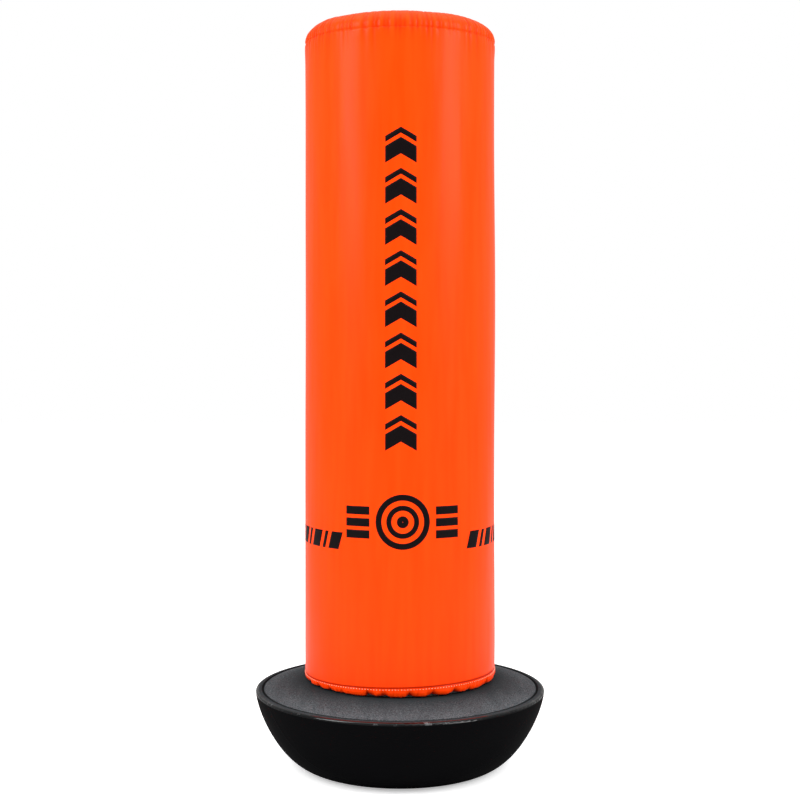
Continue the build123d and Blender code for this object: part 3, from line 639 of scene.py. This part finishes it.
def cover_sleeve(sizes):
    """The long vinyl sleeve, gathered at the top seam and slit for the zip."""
    bearing = sleeve_columns(512)
    closer = 1560  # the mesh's rows are closer together above this height
    height = np.concatenate([
        SLEEVE_FOOT + np.array([0, 0.7, 2.2, 4.5, 8]),
        np.linspace(SLEEVE_FOOT + 14, SLIT_FOOT, 16),
        np.linspace(SLIT_FOOT, closer, 44)[1:],
        np.linspace(closer, SEAM_HEIGHT - 22, 13)[1:],
        SEAM_HEIGHT - np.array([19, 16, 13, 10.5, 8, 6, 4, 2.4, 1.2, 0]),
    ])
    gathers = Gathers(sizes)
    below_seam, above_hem = SEAM_HEIGHT - height, height - SLEEVE_FOOT
    depth = gathers.depth(bearing, below_seam, gathers.below)
    swell = slack(bearing[None, :], height[:, None])
    calm = np.clip(above_hem / 60, 0, 1) * np.clip(below_seam / 30, 0.25, 1)
    radius = BAG_RADIUS - 0.8 + swell * calm[:, None] - depth
    for change in (
        0.9 * np.exp(-((below_seam / 16) - 0.8) ** 2),  # the fullness below the seam
        -1.1 * np.exp(-((below_seam / 2.6) ** 2)),  # the seam pulls in
        -1.1 * np.exp(-((above_hem / 1.6) ** 2)),  # the foot is turned under at the hem
    ):
        radius += change[:, None]
    slit_rows = (height >= SLIT_FOOT - 0.01) & (height <= SLIT_HEAD + 0.1)
    edge_columns = np.zeros(len(bearing), bool)
    edge_columns[[HALF_SLIT_COLUMNS, -HALF_SLIT_COLUMNS]] = True
    radius[np.ix_(slit_rows, edge_columns)] -= 0.9
    hang = np.exp(-((above_hem / 50) ** 2))[:, None] * hem_drop(bearing)[None, :]
    points = round_the_bag(bearing[None, :], radius, height[:, None] - hang)
    faces = wrap_faces(len(height), len(bearing))
    row, column = faces[:, 0] // len(bearing), faces[:, 0] % len(bearing)
    open_row = slit_rows[row] & slit_rows[np.minimum(row + 1, len(height) - 1)]
    open_column = (column < HALF_SLIT_COLUMNS) | (column >= len(bearing) - HALF_SLIT_COLUMNS)
    faces = faces[~(open_row & open_column)]
    piece = make_piece("vinyl_sleeve", points, faces, "vinyl", "orange_vinyl")
    # The fold mark paints the gathers, the seam line and the turned-under foot darker, a painted
    # shade.
    fold = np.clip(depth / 3.6, 0, 0.6) + 0.08 * np.exp(-((below_seam / 1.6) ** 2))[:, None]
    fold = fold + np.exp(-((above_hem / 2.8) ** 4))[:, None]
    mark(piece, "fold", np.clip(fold, 0, 1))
    thicken(piece, VINYL)
    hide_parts("cover_sleeve")
    return piece


def cover_top(sizes):
    """The top panel: gathered over the shoulder, lightly domed in the middle."""
    bearing = np.linspace(-math.pi, math.pi, 768, endpoint=False)
    turn = np.linspace(0, math.pi / 2, 26)
    middle, reach = BAG_RADIUS - SHOULDER, SHOULDER - 0.6
    side_radius = middle + reach * np.cos(turn)
    side_height = BAG_TOP - SHOULDER + reach * np.sin(turn)
    flat = np.linspace(1, 0.03, 20)[1:] * middle
    # The seam allowance is tucked down inside the sleeve.
    radius = np.concatenate([[side_radius[0] - 1.6], side_radius, flat])
    height = np.concatenate([
        [side_height[0] - 3], side_height, np.full(len(flat), side_height[-1])
    ])
    slope = np.concatenate([[0], turn, np.full(len(flat), math.pi / 2)])
    along = np.cumsum(np.hypot(np.diff(radius), np.diff(height)))
    along = np.concatenate([[-along[0], 0], along[1:] - along[0]])
    height = height + 2.5 * np.cos(np.clip(radius / middle, 0, 1) * math.pi / 2)
    gathers = Gathers(sizes)
    depth = 1.15 * gathers.depth(bearing, np.abs(along - 6), gathers.above)
    depth = depth * np.clip(radius / 150, 0, 1)[:, None] ** 2
    swell = 0.8 * slack(bearing[None, :], 4 * along[:, None])
    swell = swell * np.clip(along / 25, 0, 1)[:, None] * np.clip(radius / 60, 0, 1)[:, None]
    puff = 1.3 * np.exp(-(((along - 14) / 12) ** 2)) - 1.1 * np.exp(-((along / 2.6) ** 2))
    out = swell - depth + puff[:, None]
    grid_radius = radius[:, None] + out * np.cos(slope)[:, None]
    grid_height = height[:, None] + out * np.sin(slope)[:, None]
    points = round_the_bag(bearing[None, :], grid_radius, grid_height).reshape(-1, 3)
    points = np.concatenate([points, [[0, 0, grid_height[-1].mean() + 0.1]]])
    faces = wrap_faces(len(radius), len(bearing)).tolist()
    last = (len(radius) - 1) * len(bearing)
    centre = len(points) - 1
    faces += [[last + i, last + (i + 1) % len(bearing), centre] for i in range(len(bearing))]
    piece = make_piece("vinyl_top", points, faces, "vinyl", "orange_vinyl", "column")
    # The fold mark paints the gathers and the seam line darker, a painted shade.
    fold = np.clip(depth / 4, 0, 0.45) + 0.08 * np.exp(-((along / 1.6) ** 2))[:, None]
    mark(piece, "fold", np.append(np.clip(fold, 0, 1).ravel(), 0))
    thicken(piece, VINYL)
    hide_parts("cover_top")
    return piece


def hem_drop(bearing):
    """How far below its cut the hem's seam hangs: lowest at the left, where the cover slipped."""
    return 1.5 + 9 * ((1 - np.sin(bearing)) / 2) ** 2.2


def hem_surface(sizes, bearing, share):
    """(radius, height, pinch) of the hem: share goes from 0 at the sleeve to 1, tucked under."""
    rng = np.random.default_rng(23)
    n = sizes.notches
    places = uneven_places(rng, n, 0.42)
    depths = sizes.notch_depth / MM * rng.uniform(0.15, 1.35, n)
    width = rng.uniform(4.2, 10.5, n)
    lean = rng.uniform(-7, 7, n) / BAG_RADIUS  # a pinch runs down at a slant
    skew = np.exp(rng.uniform(-0.6, 0.6, n))  # and is steeper on one side
    pinch = 0
    for k in range(n):
        slanted = nearest_turn(bearing[None, :] - places[k] - lean[k] * (share[:, None] - 0.6))
        away = np.abs(slanted) * BAG_RADIUS * np.where(slanted > 0, skew[k], 1 / skew[k])
        flare = width[k] * (0.3 + 1.0 * share[:, None])
        pinch = pinch + depths[k] * np.exp(-((away / flare) ** 1.2))
    small = uneven_places(rng, 3 * n, 0.45)
    size = rng.uniform(-0.5, 1.2, 3 * n)[:, None]
    pucker = (size * dents(bearing, small, rng.uniform(3, 7, 3 * n))).sum(0)
    along, radii, heights = HEM_SECTION
    radius, height = np.interp(share, along, radii), np.interp(share, along, heights)
    bite = np.clip((share - 0.16) / 0.55, 0, 1) ** 1.2
    lift = np.clip((share - 0.45) / 0.4, 0, 1)
    bulge = np.sin(math.pi * share)[:, None]
    wave = np.cos(5 * bearing + 9 * np.sin(bearing + 1))
    wave = wave + np.cos(13 * bearing + 4 * np.cos(3 * bearing))
    crumple = np.cos(61 * bearing + 5 * np.sin(7 * bearing))
    crumple = crumple * np.cos(23 * bearing + 2 * np.sin(11 * bearing))
    # The crumpled hollows give only a painted shade in them, and don't change the shape.
    hollow_shade = bulge * np.maximum(-crumple - 0.25, 0)[None, :]
    sag = 0.5 * lift[:, None] * wave[None, :]
    drop = (1 - share)[:, None] ** 1.3 * hem_drop(bearing)[None, :]
    grid_height = height[:, None] - drop + 0.5 * lift[:, None] * pinch + np.maximum(sag, 0)
    grid_radius = radius[:, None] - bite[:, None] * pinch - 0.8 * bulge * pucker
    # The stitches pull in a shallow groove.
    grid_radius = grid_radius - 0.5 * np.exp(-(((share - STITCH_SHARE) / 0.035) ** 2))[:, None]
    grid_radius = grid_radius + bulge * (0.6 * wave + 1.1 * crumple)[None, :]
    # The third value, the pinch with the hollows added, sets how dark the painted shade on the hem
    # is.
    return grid_radius, grid_height, bite[:, None] * pinch + 1.6 * hollow_shade


def hem_band(sizes):
    """The hem: a turned-up band that the elastic draws in under the bag."""
    bearing = np.linspace(-math.pi, math.pi, 896, endpoint=False)
    share = np.linspace(1, 0, 36)
    radius, height, pinch = hem_surface(sizes, bearing, share)
    points = round_the_bag(bearing[None, :], radius, height)
    faces = wrap_faces(len(share), len(bearing))
    piece = make_piece("vinyl_hem", points, faces, "vinyl", "orange_vinyl", "hub")
    # The crease at the top, the stitch line, the pinches and the hollows are painted darker, a
    # painted shade.
    crease_shade = np.exp(-((share / 0.085) ** 4))[:, None]
    crease_shade = crease_shade + 0.4 * np.exp(-(((share - STITCH_SHARE) / 0.04) ** 2))[:, None]
    mark(piece, "fold", np.clip((np.maximum(pinch - 0.6, 0) / 3.4) + crease_shade, 0, 1))
    thicken(piece, 1.0)
    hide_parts("hem_band")
    return piece


def stitch_row(name, centres, directions, outward, length_mm, radius_mm, body):
    """A row of stitches: short loops of thread that dip into the cloth at both ends."""
    turn = np.linspace(0, TAU, 6, endpoint=False)
    along = length_mm * np.linspace(-0.5, 0.5, 5)
    thick = radius_mm * np.array([0.35, 0.9, 1.0, 0.9, 0.35])
    dip = radius_mm * np.array([-1.2, -0.1, 0.25, -0.1, -1.2])
    across = np.cross(directions, outward)
    faces = tube_faces(len(along), len(turn))
    parts = []
    for k in range(len(centres)):
        rim = np.cos(turn)[:, None] * across[k] + np.sin(turn)[:, None] * outward[k]
        loops = [
            centres[k] + directions[k] * a + outward[k] * d + t * rim
            for a, t, d in zip(along, thick, dip)
        ]
        parts.append((np.concatenate(loops), faces))
    return make_piece(name, *joined(parts), "thread", "orange_vinyl", body)


def hem_stitches(sizes):
    """The row of pale stitches just under the fold of the hem."""
    pitch = sizes.stitch_pitch / MM
    count = round(CIRCUMFERENCE / pitch)
    bearing = np.linspace(-math.pi, math.pi, count, endpoint=False)
    radius, height, _ = hem_surface(sizes, bearing, np.array([STITCH_SHARE]))
    centres = round_the_bag(bearing, radius[0] + 0.25, height[0])
    outward = round_the_bag(bearing, np.ones(count), np.zeros(count))
    along = np.cross(np.array([0, 0, 1.0]), outward)
    # The thread is drawn about twice as thick as real thread, so that it shows.
    return stitch_row("hem_stitches", centres, along, outward, 0.46 * pitch, 0.75, "hub")


def braided_elastic():
    """The elastic in the hem: a cord with the slant of its braid."""
    foot, head = span("hem_elastic")
    ring, cord = high("hem_elastic").x - 2.5, 2.3
    around = np.linspace(-math.pi, math.pi, 720, endpoint=False)
    turn = np.linspace(0, TAU, 12, endpoint=False)
    plies = 0.14 * np.cos(3 * turn[:, None] + 240 * around[None, :])
    radius = ring + (cord + plies) * np.cos(turn)[:, None]
    height = (head + foot) / 2 + (cord + plies) * np.sin(turn)[:, None]
    points = round_the_bag(around[None, :], radius, height)
    faces = wrap_faces(len(turn), len(around), wrap_rows=True)
    piece = make_piece("hem_elastic_cord", points, faces, "elastic", "black_webbing", "hub")
    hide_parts("hem_elastic")


# ---- foam --------------------------------------------------------------------------------


def rounded(outline, radius_mm):
    """A closed outline of (radius, height) points with its corners rounded."""
    result = []
    corners = np.array(outline, float)
    for i, corner in enumerate(corners):
        before, after = corners[i - 1] - corner, corners[(i + 1) % len(corners)] - corner
        cut = min(radius_mm, 0.4 * np.linalg.norm(before), 0.4 * np.linalg.norm(after))
        start = corner + before / np.linalg.norm(before) * cut
        end = corner + after / np.linalg.norm(after) * cut
        for t in np.linspace(0, 1, 4):
            result.append((1 - t) ** 2 * start + 2 * t * (1 - t) * corner + t * t * end)
    return np.array(result)


def subdivided(outline, step_mm):
    """The closed outline with points no further apart than step_mm."""
    result = []
    for here, there in zip(outline, np.roll(outline, -1, axis=0)):
        parts = max(1, math.ceil(np.linalg.norm(there - here) / step_mm))
        result += [here + (there - here) * k / parts for k in range(parts)]
    return np.array(result)


def foam_ring(name, outline, finish, slot_name, body, replaced, groove=None):
    """A foam piece turned round the bag's axis and softly uneven.

    groove gives half the width of the zip's groove and how far from the axis its floor is.
    """
    profile = subdivided(rounded(outline, 5), 24)
    bearing = np.linspace(-math.pi, math.pi, 256, endpoint=False)
    radius = profile[:, 0][:, None] + 0 * bearing[None, :]
    height = profile[:, 1][:, None] + 0 * bearing[None, :]
    uneven = 0.35 * slack(bearing[None, :] + 1, 1.7 * height)
    radius = radius + np.where(radius > 0.9 * radius.max(), np.minimum(uneven, 0.4), 0)
    if groove:
        half_width, floor = groove
        side = np.abs(np.sin(bearing)) * BAG_RADIUS
        behind = (np.cos(bearing) < 0) & (side < half_width)
        limit = np.where(behind, floor / np.maximum(-np.cos(bearing), 0.2), 1e9)
        radius = np.minimum(radius, limit[None, :])
    points = round_the_bag(bearing[None, :], radius, height)
    faces = wrap_faces(len(profile), len(bearing), wrap_rows=True)
    piece = make_piece(name, points, faces, finish, slot_name, body)
    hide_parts(replaced)
    return piece


def foam_pieces():
    """The firm sleeve, the soft sleeve, the top pad and the lower ring, which it gives back."""
    skin = FOAM_RADIUS - 0.5
    foot, head = span("lower_foam")
    mouth, bore = 118, 106  # the radius of the ring's hole, at its foot and above it
    lower = foam_ring(
        "foam_lower_ring",
        [(mouth, foot), (204, foot), (skin, foot + 22), (skin, head), (bore, head),
         (bore, foot + 19)],
        "soft_foam", "white_foam", None, "lower_foam",
    )
    foot, head = span("firm_foam")
    inner, outer = high("core_tube").x + 0.5, high("firm_foam").x
    foam_ring(
        "foam_firm_sleeve", [(inner, foot), (outer, foot), (outer, head), (inner, head)],
        "firm_foam", "grey_foam", "column", "firm_foam",
    )
    foot, head = span("outer_foam")
    inner = outer + 0.5
    foam_ring(
        "foam_soft_sleeve", [(inner, foot), (skin, foot), (skin, head), (inner, head)],
        "soft_foam", "white_foam", "column", "outer_foam", (33, 209),
    )
    # The pad stays clear of the gathers above it.
    foot, head = low("top_pad").z, BAG_TOP - 8
    edge, bend = FOAM_RADIUS - 4.5, 34
    shoulder = [
        (edge - bend + bend * math.cos(a), head - bend + bend * math.sin(a))
        for a in np.linspace(0, math.pi / 2, 9)
    ]
    foam_ring(
        "foam_top_pad", [(0.6, foot), (edge, foot), *shoulder, (0.6, head)],
        "soft_foam", "white_foam", "column", "top_pad",
    )
    return lower


# ---- zip ---------------------------------------------------------------------------------


def tape_strip(x_low, x_high, node):
    """A closed strip of tape with rounded long edges, in the depth and height of a CAD node."""
    y_low, y_high = low(node).y, high(node).y
    heights = np.linspace(*span(node), 120)
    half = (y_high - y_low) / 2
    turn = np.linspace(-math.pi / 2, math.pi / 2, 4)
    right = [(x_high - half + half * math.cos(a), half * math.sin(a)) for a in turn]
    left = [(x_low + half - half * math.cos(a), -half * math.sin(a)) for a in turn]
    across = np.linspace(x_high - half, x_low + half, 8)[1:-1]
    ring = np.array(right + [(x, half) for x in across] + left + [(x, -half) for x in across[::-1]])
    ripple = 0.12 * np.sin(heights / 21 + x_low)[:, None]
    ripple = ripple * np.clip(np.abs(ring[:, 0]) / 20, 0, 1)[None, :]
    x = ring[:, 0][None, :] + 0 * ripple
    y = (y_low + y_high) / 2 + ring[:, 1][None, :] + ripple
    points = np.stack([x, y, heights[:, None] + 0 * x], -1)
    return points.reshape(-1, 3), tube_faces(len(heights), len(ring))


def zip_pieces(cover):
    """Tapes, guard flap, coils and the two rows of stitches each side of the slit."""
    middle, half = 14.3, 10.7  # of each tape, across the zip
    strips = [tape_strip(s * middle - half, s * middle + half, "zip_tapes") for s in (-1, 1)]
    tapes = make_piece("zip_tape_pair", *joined(strips), "tape", "black_webbing", "column")
    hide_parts("zip_tapes")
    strip = tape_strip(low("zip_guard").x, high("zip_guard").x, "zip_guard")
    guard = make_piece("zip_guard_flap", *strip, "tape", "black_webbing", "column")
    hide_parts("zip_guard")
    coils = joined([coil(-1), coil(1)])
    coils = make_piece("zip_coil_pair", *coils, "nylon", "black_nylon", "column")
    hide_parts("zip_coils")
    rows = [side * (SLIT_HALF + x) for side in (-1, 1) for x in (2.5, 6.5)]
    z = np.arange(SLIT_FOOT - 4, SLIT_HEAD + 4, 4.4)
    bearing = np.repeat([math.pi - x / BAG_RADIUS for x in rows], len(z))
    z = np.tile(z, len(rows))
    centres, outward = on_cover(cover, bearing, z, 0.2)
    along = np.tile([0, 0, 1.0], (len(z), 1))
    stitch_row("zip_stitches", centres, along, outward, 2.9, 0.42, "column")


def wound_wire(path, wire_mm, sides):
    """A round wire along a path of points, closed at both ends, as points and faces."""
    ahead = np.gradient(path, axis=0)
    ahead /= np.linalg.norm(ahead, axis=1)[:, None]
    up = np.cross(ahead, np.array([0, 0, 1.0]))
    up /= np.linalg.norm(up, axis=1)[:, None]
    other = np.cross(ahead, up)
    turn = np.linspace(0, TAU, sides, endpoint=False)[None, :, None]
    rim = np.cos(turn) * up[:, None, :] + np.sin(turn) * other[:, None, :]
    rings = path[:, None, :] + wire_mm * rim
    return rings.reshape(-1, 3), tube_faces(len(path), sides)


def neck_spring():
    """The heavy coil spring that lets the bag lean."""
    foot, head = span("neck_spring")
    wire, turns = 6.5, 7
    ring = high("neck_spring").x - wire
    t = np.linspace(0, 1, turns * 40 + 1)
    # The end coils close up against their seats.
    rise = np.clip((t * turns - 0.6) / (turns - 1.2), 0, 1)
    tail = np.clip(t * turns / 0.6, 0, 1) + np.clip(1 - (1 - t) * turns / 0.6, 0, 1)
    height = foot + wire + 0.35 * wire * tail + (head - foot - 2.7 * wire) * rise
    around = TAU * turns * t
    path = np.stack([ring * np.cos(around), ring * np.sin(around), height], -1)
    coils = wound_wire(path, wire, 16)
    piece = make_piece("neck_spring_coil", *coils, "spring_steel", "black_steel")
    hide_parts("neck_spring")
    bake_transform(piece)


def coil(side):
    """One row of the zip: a flattened nylon coil along the slit."""
    c_low, c_high = low("zip_coils"), high("zip_coils")
    pitch, steps, sides, wire = 3.0, 9, 5, 0.42
    turns = int((c_high.z - c_low.z - 2) / pitch)
    t = np.arange(turns * steps + 1) / steps
    x = side * (1.65 + 1.15 * np.cos(TAU * t))
    y = (c_low.y + c_high.y) / 2 + 1.1 * np.sin(TAU * t)
    z = c_low.z + 1 + pitch * t + (0 if side > 0 else pitch / 2)
    return wound_wire(np.stack([x, y, z], -1), wire, sides)


# ---- prints ------------------------------------------------------------------------------


def on_cover(cover, bearing, height, lift_mm):
    """Points lifted off the cover at these bearings and heights, and the way out at each."""
    mesh = cover.data
    tree = BVHTree.FromPolygons(
        [v.co for v in mesh.vertices], [tuple(p.vertices) for p in mesh.polygons]
    )
    outward = round_the_bag(bearing, np.ones(len(bearing)), np.zeros(len(bearing)))
    points = np.empty((len(bearing), 3))
    for k in range(len(bearing)):
        start = Vector((*(outward[k, :2] * 0.3), height[k] * MM))
        hit = tree.ray_cast(start, Vector(-outward[k]), 0.2)[0]
        if hit is None:
            raise RuntimeError(f"no cover at bearing {bearing[k]:.3f} and height {height[k]:.1f}")
        points[k] = np.array(hit) / MM + outward[k] * lift_mm
    return points, outward


def block(corners, step_mm=4.0):
    """A four-sided patch as a grid of (distance round, height), from its corners in order."""
    a, b, c, d = (np.array(p, float) for p in corners)
    across, up = (
        max(2, math.ceil(max(np.linalg.norm(one), np.linalg.norm(other)) / step_mm) + 1)
        for one, other in ((b - a, c - d), (d - a, c - b))
    )
    u, v = np.linspace(0, 1, across)[None, :, None], np.linspace(0, 1, up)[:, None, None]
    return (1 - v) * ((1 - u) * a + u * b) + v * ((1 - u) * d + u * c), False


def ring(centre, inner, outer):
    """A flat ring, or a disc where inner is nearly 0, as a grid that closes on itself."""
    turn = np.linspace(0, TAU, 72, endpoint=False)
    parts = max(2, math.ceil((outer - inner) / 4) + 1)
    reach = np.linspace(outer, inner, parts)[:, None]
    grid = np.stack([centre[0] + reach * np.cos(turn), centre[1] + reach * np.sin(turn)], -1)
    return grid, True


def ink_film(name, cover, patches):
    """A print: closed films of ink that lie on the cover."""
    parts = []
    for grid, closed in patches:
        rows, columns = grid.shape[:2]
        flat = grid.reshape(-1, 2)
        bearing = flat[:, 0] / BAG_RADIUS
        top, outward = on_cover(cover, bearing, flat[:, 1], 0.22)
        under = top - 0.45 * outward
        n = rows * columns
        faces = wrap_faces(rows, columns, wrap_columns=closed)
        back = (faces + n)[:, ::-1]
        last = (rows - 1) * columns
        edges = []
        loops = [list(range(columns)), [last + i for i in range(columns)][::-1]]
        if closed:
            loops = [loop + loop[:1] for loop in loops]
        else:
            right = [i * columns + columns - 1 for i in range(rows)]
            left = [i * columns for i in range(rows)][::-1]
            loops = [loops[0], right, loops[1], left]
        for loop in loops:
            edges += [[b, a, a + n, b + n] for a, b in zip(loop, loop[1:])]
        parts.append((np.concatenate([top, under]), faces.tolist() + back.tolist() + edges))
    return make_piece(name, *joined(parts), "ink", "orange_vinyl", "column")


def chevron(centre_x, foot, half_width, rise, thickness):
    """A chevron that points up, as a grid of (distance round, height)."""
    across = np.linspace(-1, 1, 21)[None, :]
    up = np.linspace(0, thickness, max(3, round(thickness / 4)))[:, None]
    x = centre_x + half_width * across + 0 * up
    return np.stack([x, foot + rise * (1 - np.abs(across)) + up], -1), False


def prints(cover):
    """Plain sports graphics: a column of chevrons, a round target and a band of slanted bars."""
    count, lowest, highest = 8, 735, 1450
    column = []
    for k in range(count):
        foot = lowest + k * ((highest - lowest) / count)
        for gap, thickness in ((0, 36), (45, 13)):
            column.append(chevron(2, foot + gap, 34.5, 20, thickness))
    ink_film("print_column", cover, column)
    centre = (6, 580)
    target = [ring(centre, *radii) for radii in ((47, 60), (25, 36), (0.8, 13))]
    for side in (-1, 1):
        for level in (-30, -4, 22):
            near, far = sorted((centre[0] + side * 74, centre[0] + side * 130))
            foot = centre[1] + level - 7
            target.append(block([(near, foot), (far, foot), (far, foot + 18), (near, foot + 18)]))
    ink_film("print_target", cover, target)
    foot, head, lean, gap = 515, 553, 12, 11
    widths = (32, 11)  # a wide bar and a narrow one by turns
    band = []
    for side, begin in ((1, 42), (-1, 38)):
        reach = math.radians(begin) * BAG_RADIUS
        k = 0
        while reach < CIRCUMFERENCE / 2 - 34:
            width = widths[k % 2]
            left, right = sorted((side * reach, side * (reach + width)))
            band.append(block(
                [(left, foot), (right, foot), (right + lean, head), (left + lean, head)]
            ))
            reach += width + gap
            k += 1
    ink_film("print_band", cover, band)


# ---- operators ---------------------------------------------------------------------------


class BAG_OT_finishes(bpy.types.Operator):
    """Makes the materials and puts them on the moulded and metal parts"""

    bl_idname = "bag.finishes"
    bl_label = "Finishes"

    def execute(self, context):
        MATERIALS.update(make_materials(context.scene.bag_colours))
        for finish, names in CAD_FINISH.items():
            for name in names:
                part = NODES[name]
                part.data.materials.clear()
                part.data.materials.append(MATERIALS[finish])
        return {"FINISHED"}


class BAG_OT_cover(bpy.types.Operator):
    """Makes the vinyl sleeve and the gathered top panel"""

    bl_idname = "bag.cover"
    bl_label = "Cover"

    def execute(self, context):
        sizes = context.scene.bag_sizes
        sleeve = cover_sleeve(sizes)
        top = cover_top(sizes)
        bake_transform(sleeve)
        return {"FINISHED"}


class BAG_OT_hem(bpy.types.Operator):
    """Makes the hem with its stitches and elastic"""

    bl_idname = "bag.hem"
    bl_label = "Hem"

    def execute(self, context):
        sizes = context.scene.bag_sizes
        hem = hem_band(sizes)
        stitches = hem_stitches(sizes)
        braided_elastic()
        return {"FINISHED"}


class BAG_OT_prints(bpy.types.Operator):
    """Makes the chevrons, the strike target and the band of bars that lie on the sleeve"""

    bl_idname = "bag.prints"
    bl_label = "Prints"

    def execute(self, context):
        prints(bpy.data.objects["vinyl_sleeve"])
        return {"FINISHED"}


class BAG_OT_zip(bpy.types.Operator):
    """Makes the zip's tapes, guard, coils and stitches behind the sleeve's slit"""

    bl_idname = "bag.zip"
    bl_label = "Zip"

    def execute(self, context):
        zip_pieces(bpy.data.objects["vinyl_sleeve"])
        return {"FINISHED"}


class BAG_OT_foam(bpy.types.Operator):
    """Makes the four pieces of foam inside the cover"""

    bl_idname = "bag.foam"
    bl_label = "Foam"

    def execute(self, context):
        lower = foam_pieces()
        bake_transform(lower)
        return {"FINISHED"}


class BAG_OT_neck_spring(bpy.types.Operator):
    """Makes the coil spring in the neck, which lets the bag lean"""

    bl_idname = "bag.neck_spring"
    bl_label = "Neck spring"

    def execute(self, context):
        neck_spring()
        return {"FINISHED"}


class BAG_OT_stage(bpy.types.Operator):
    """Makes the studio: floor, lights and camera"""

    bl_idname = "bag.stage"
    bl_label = "Stage"

    def execute(self, context):
        scene = context.scene
        scene.view_settings.view_transform = "Standard"
        floor_mesh = bpy.data.meshes.new("floor")
        reach = 14
        corners = [(x * reach, y * reach, 0) for x, y in ((-1, -1), (1, -1), (1, 1), (-1, 1))]
        floor_mesh.from_pydata(corners, [], [(0, 1, 2, 3)])
        floor = bpy.data.objects.new("floor", floor_mesh)
        scene.collection.objects.link(floor)
        made, tree, place = new_material("paper_rolled")
        colour = tuple(scene.bag_colours.floor)
        cloud = node(tree, "TexNoise", {"Vector": place, "Scale": per_metre(900)})
        cloudy = node(tree, "MapRange", {0: cloud, **MOST})
        body = node(
            tree, "Mix", {0: cloudy, 6: colour, 7: scaled(colour, 0.985)}, 2, data_type="RGBA"
        )
        fibre = node(tree, "TexNoise", {"Vector": place, "Scale": per_metre(60)})
        rough = node(tree, "MapRange", {0: fibre, **MOST, 3: 0.75, 4: 0.9})
        # The floor glows only to look at, so that it doesn't light the bowl from below.
        seen = node(tree, "LightPath", output="Is Camera Ray")
        glow = node(tree, "MapRange", {0: seen, 4: 0.42})
        shader = node(tree, "BsdfPrincipled", {
            "Base Color": body, "Roughness": rough, "Specular IOR Level": 0.0,
            "Emission Color": (1, 1, 1, 1), "Emission Strength": glow,
        })
        node(tree, "OutputMaterial", {"Surface": shader})
        floor_mesh.materials.append(made)
        world = bpy.data.worlds.new("studio")
        world.use_nodes = True
        sky = world.node_tree
        sky.nodes.clear()
        # The backdrop is white to look at and gives a softer light than that.
        seen = node(sky, "LightPath", output="Is Camera Ray")
        level = node(sky, "MapRange", {0: seen, 3: 0.6, 4: 1.0})
        shown = node(sky, "Background", {"Color": (1, 1, 1, 1), "Strength": level})
        node(sky, "OutputWorld", {"Surface": shown})
        scene.world = world
        for name, place, aim, size, power in (
            ("softbox_left", (-2.5, -1.5, 2.5), (0, 0, 1.0), (1.3, 2.4), 105),
            ("softbox_right", (2.6, -1.4, 2.5), (0, 0, 1.0), (1.3, 2.4), 105),
            ("softbox_top", (0, -0.4, 5.0), (0, 0, 0), (5.0, 5.0), 110),
        ):
            data = bpy.data.lights.new(name, "AREA")
            data.shape = "RECTANGLE"
            data.size, data.size_y = size
            data.energy = power
            lamp = bpy.data.objects.new(name, data)
            lamp.location = place
            way = Vector(aim) - Vector(place)
            lamp.rotation_euler = way.to_track_quat("-Z", "Y").to_euler()
            scene.collection.objects.link(lamp)
        data = bpy.data.cameras.new("camera")
        data.lens = 65.25
        data.sensor_width = 36
        data.shift_y = -0.073
        camera = bpy.data.objects.new("camera", data)
        camera.location = (0, -3.365, 0.972)
        camera.rotation_euler = (math.pi / 2, 0, 0)
        scene.collection.objects.link(camera)
        scene.camera = camera
        return {"FINISHED"}


class BAG_PT_panel(bpy.types.Panel):
    """Lists the steps that build the bag"""

    bl_label = "Punching bag"
    bl_idname = "BAG_PT_panel"
    bl_space_type = "VIEW_3D"
    bl_region_type = "UI"
    bl_category = "Punching bag"

    def draw(self, context):
        for settings in (context.scene.bag_sizes, context.scene.bag_colours):
            for name in settings.__annotations__:
                self.layout.prop(settings, name)
        for step in STEPS:
            self.layout.operator(step.bl_idname)


STEPS = (
    BAG_OT_finishes, BAG_OT_cover, BAG_OT_hem, BAG_OT_prints, BAG_OT_zip, BAG_OT_foam,
    BAG_OT_neck_spring, BAG_OT_stage,
)
CLASSES = (BagColours, BagSizes, *STEPS, BAG_PT_panel)


def register():
    for each in CLASSES:
        bpy.utils.register_class(each)
    bpy.types.Scene.bag_colours = PointerProperty(type=BagColours)
    bpy.types.Scene.bag_sizes = PointerProperty(type=BagSizes)


def unregister():
    del bpy.types.Scene.bag_sizes
    del bpy.types.Scene.bag_colours
    for each in reversed(CLASSES):
        bpy.utils.unregister_class(each)


def main():
    register()
    bpy.ops.bag.finishes()
    bpy.ops.bag.cover()
    bpy.ops.bag.hem()
    bpy.ops.bag.prints()
    bpy.ops.bag.zip()
    bpy.ops.bag.foam()
    bpy.ops.bag.neck_spring()
    bpy.ops.bag.stage()


if __name__ == "__main__":
    main()
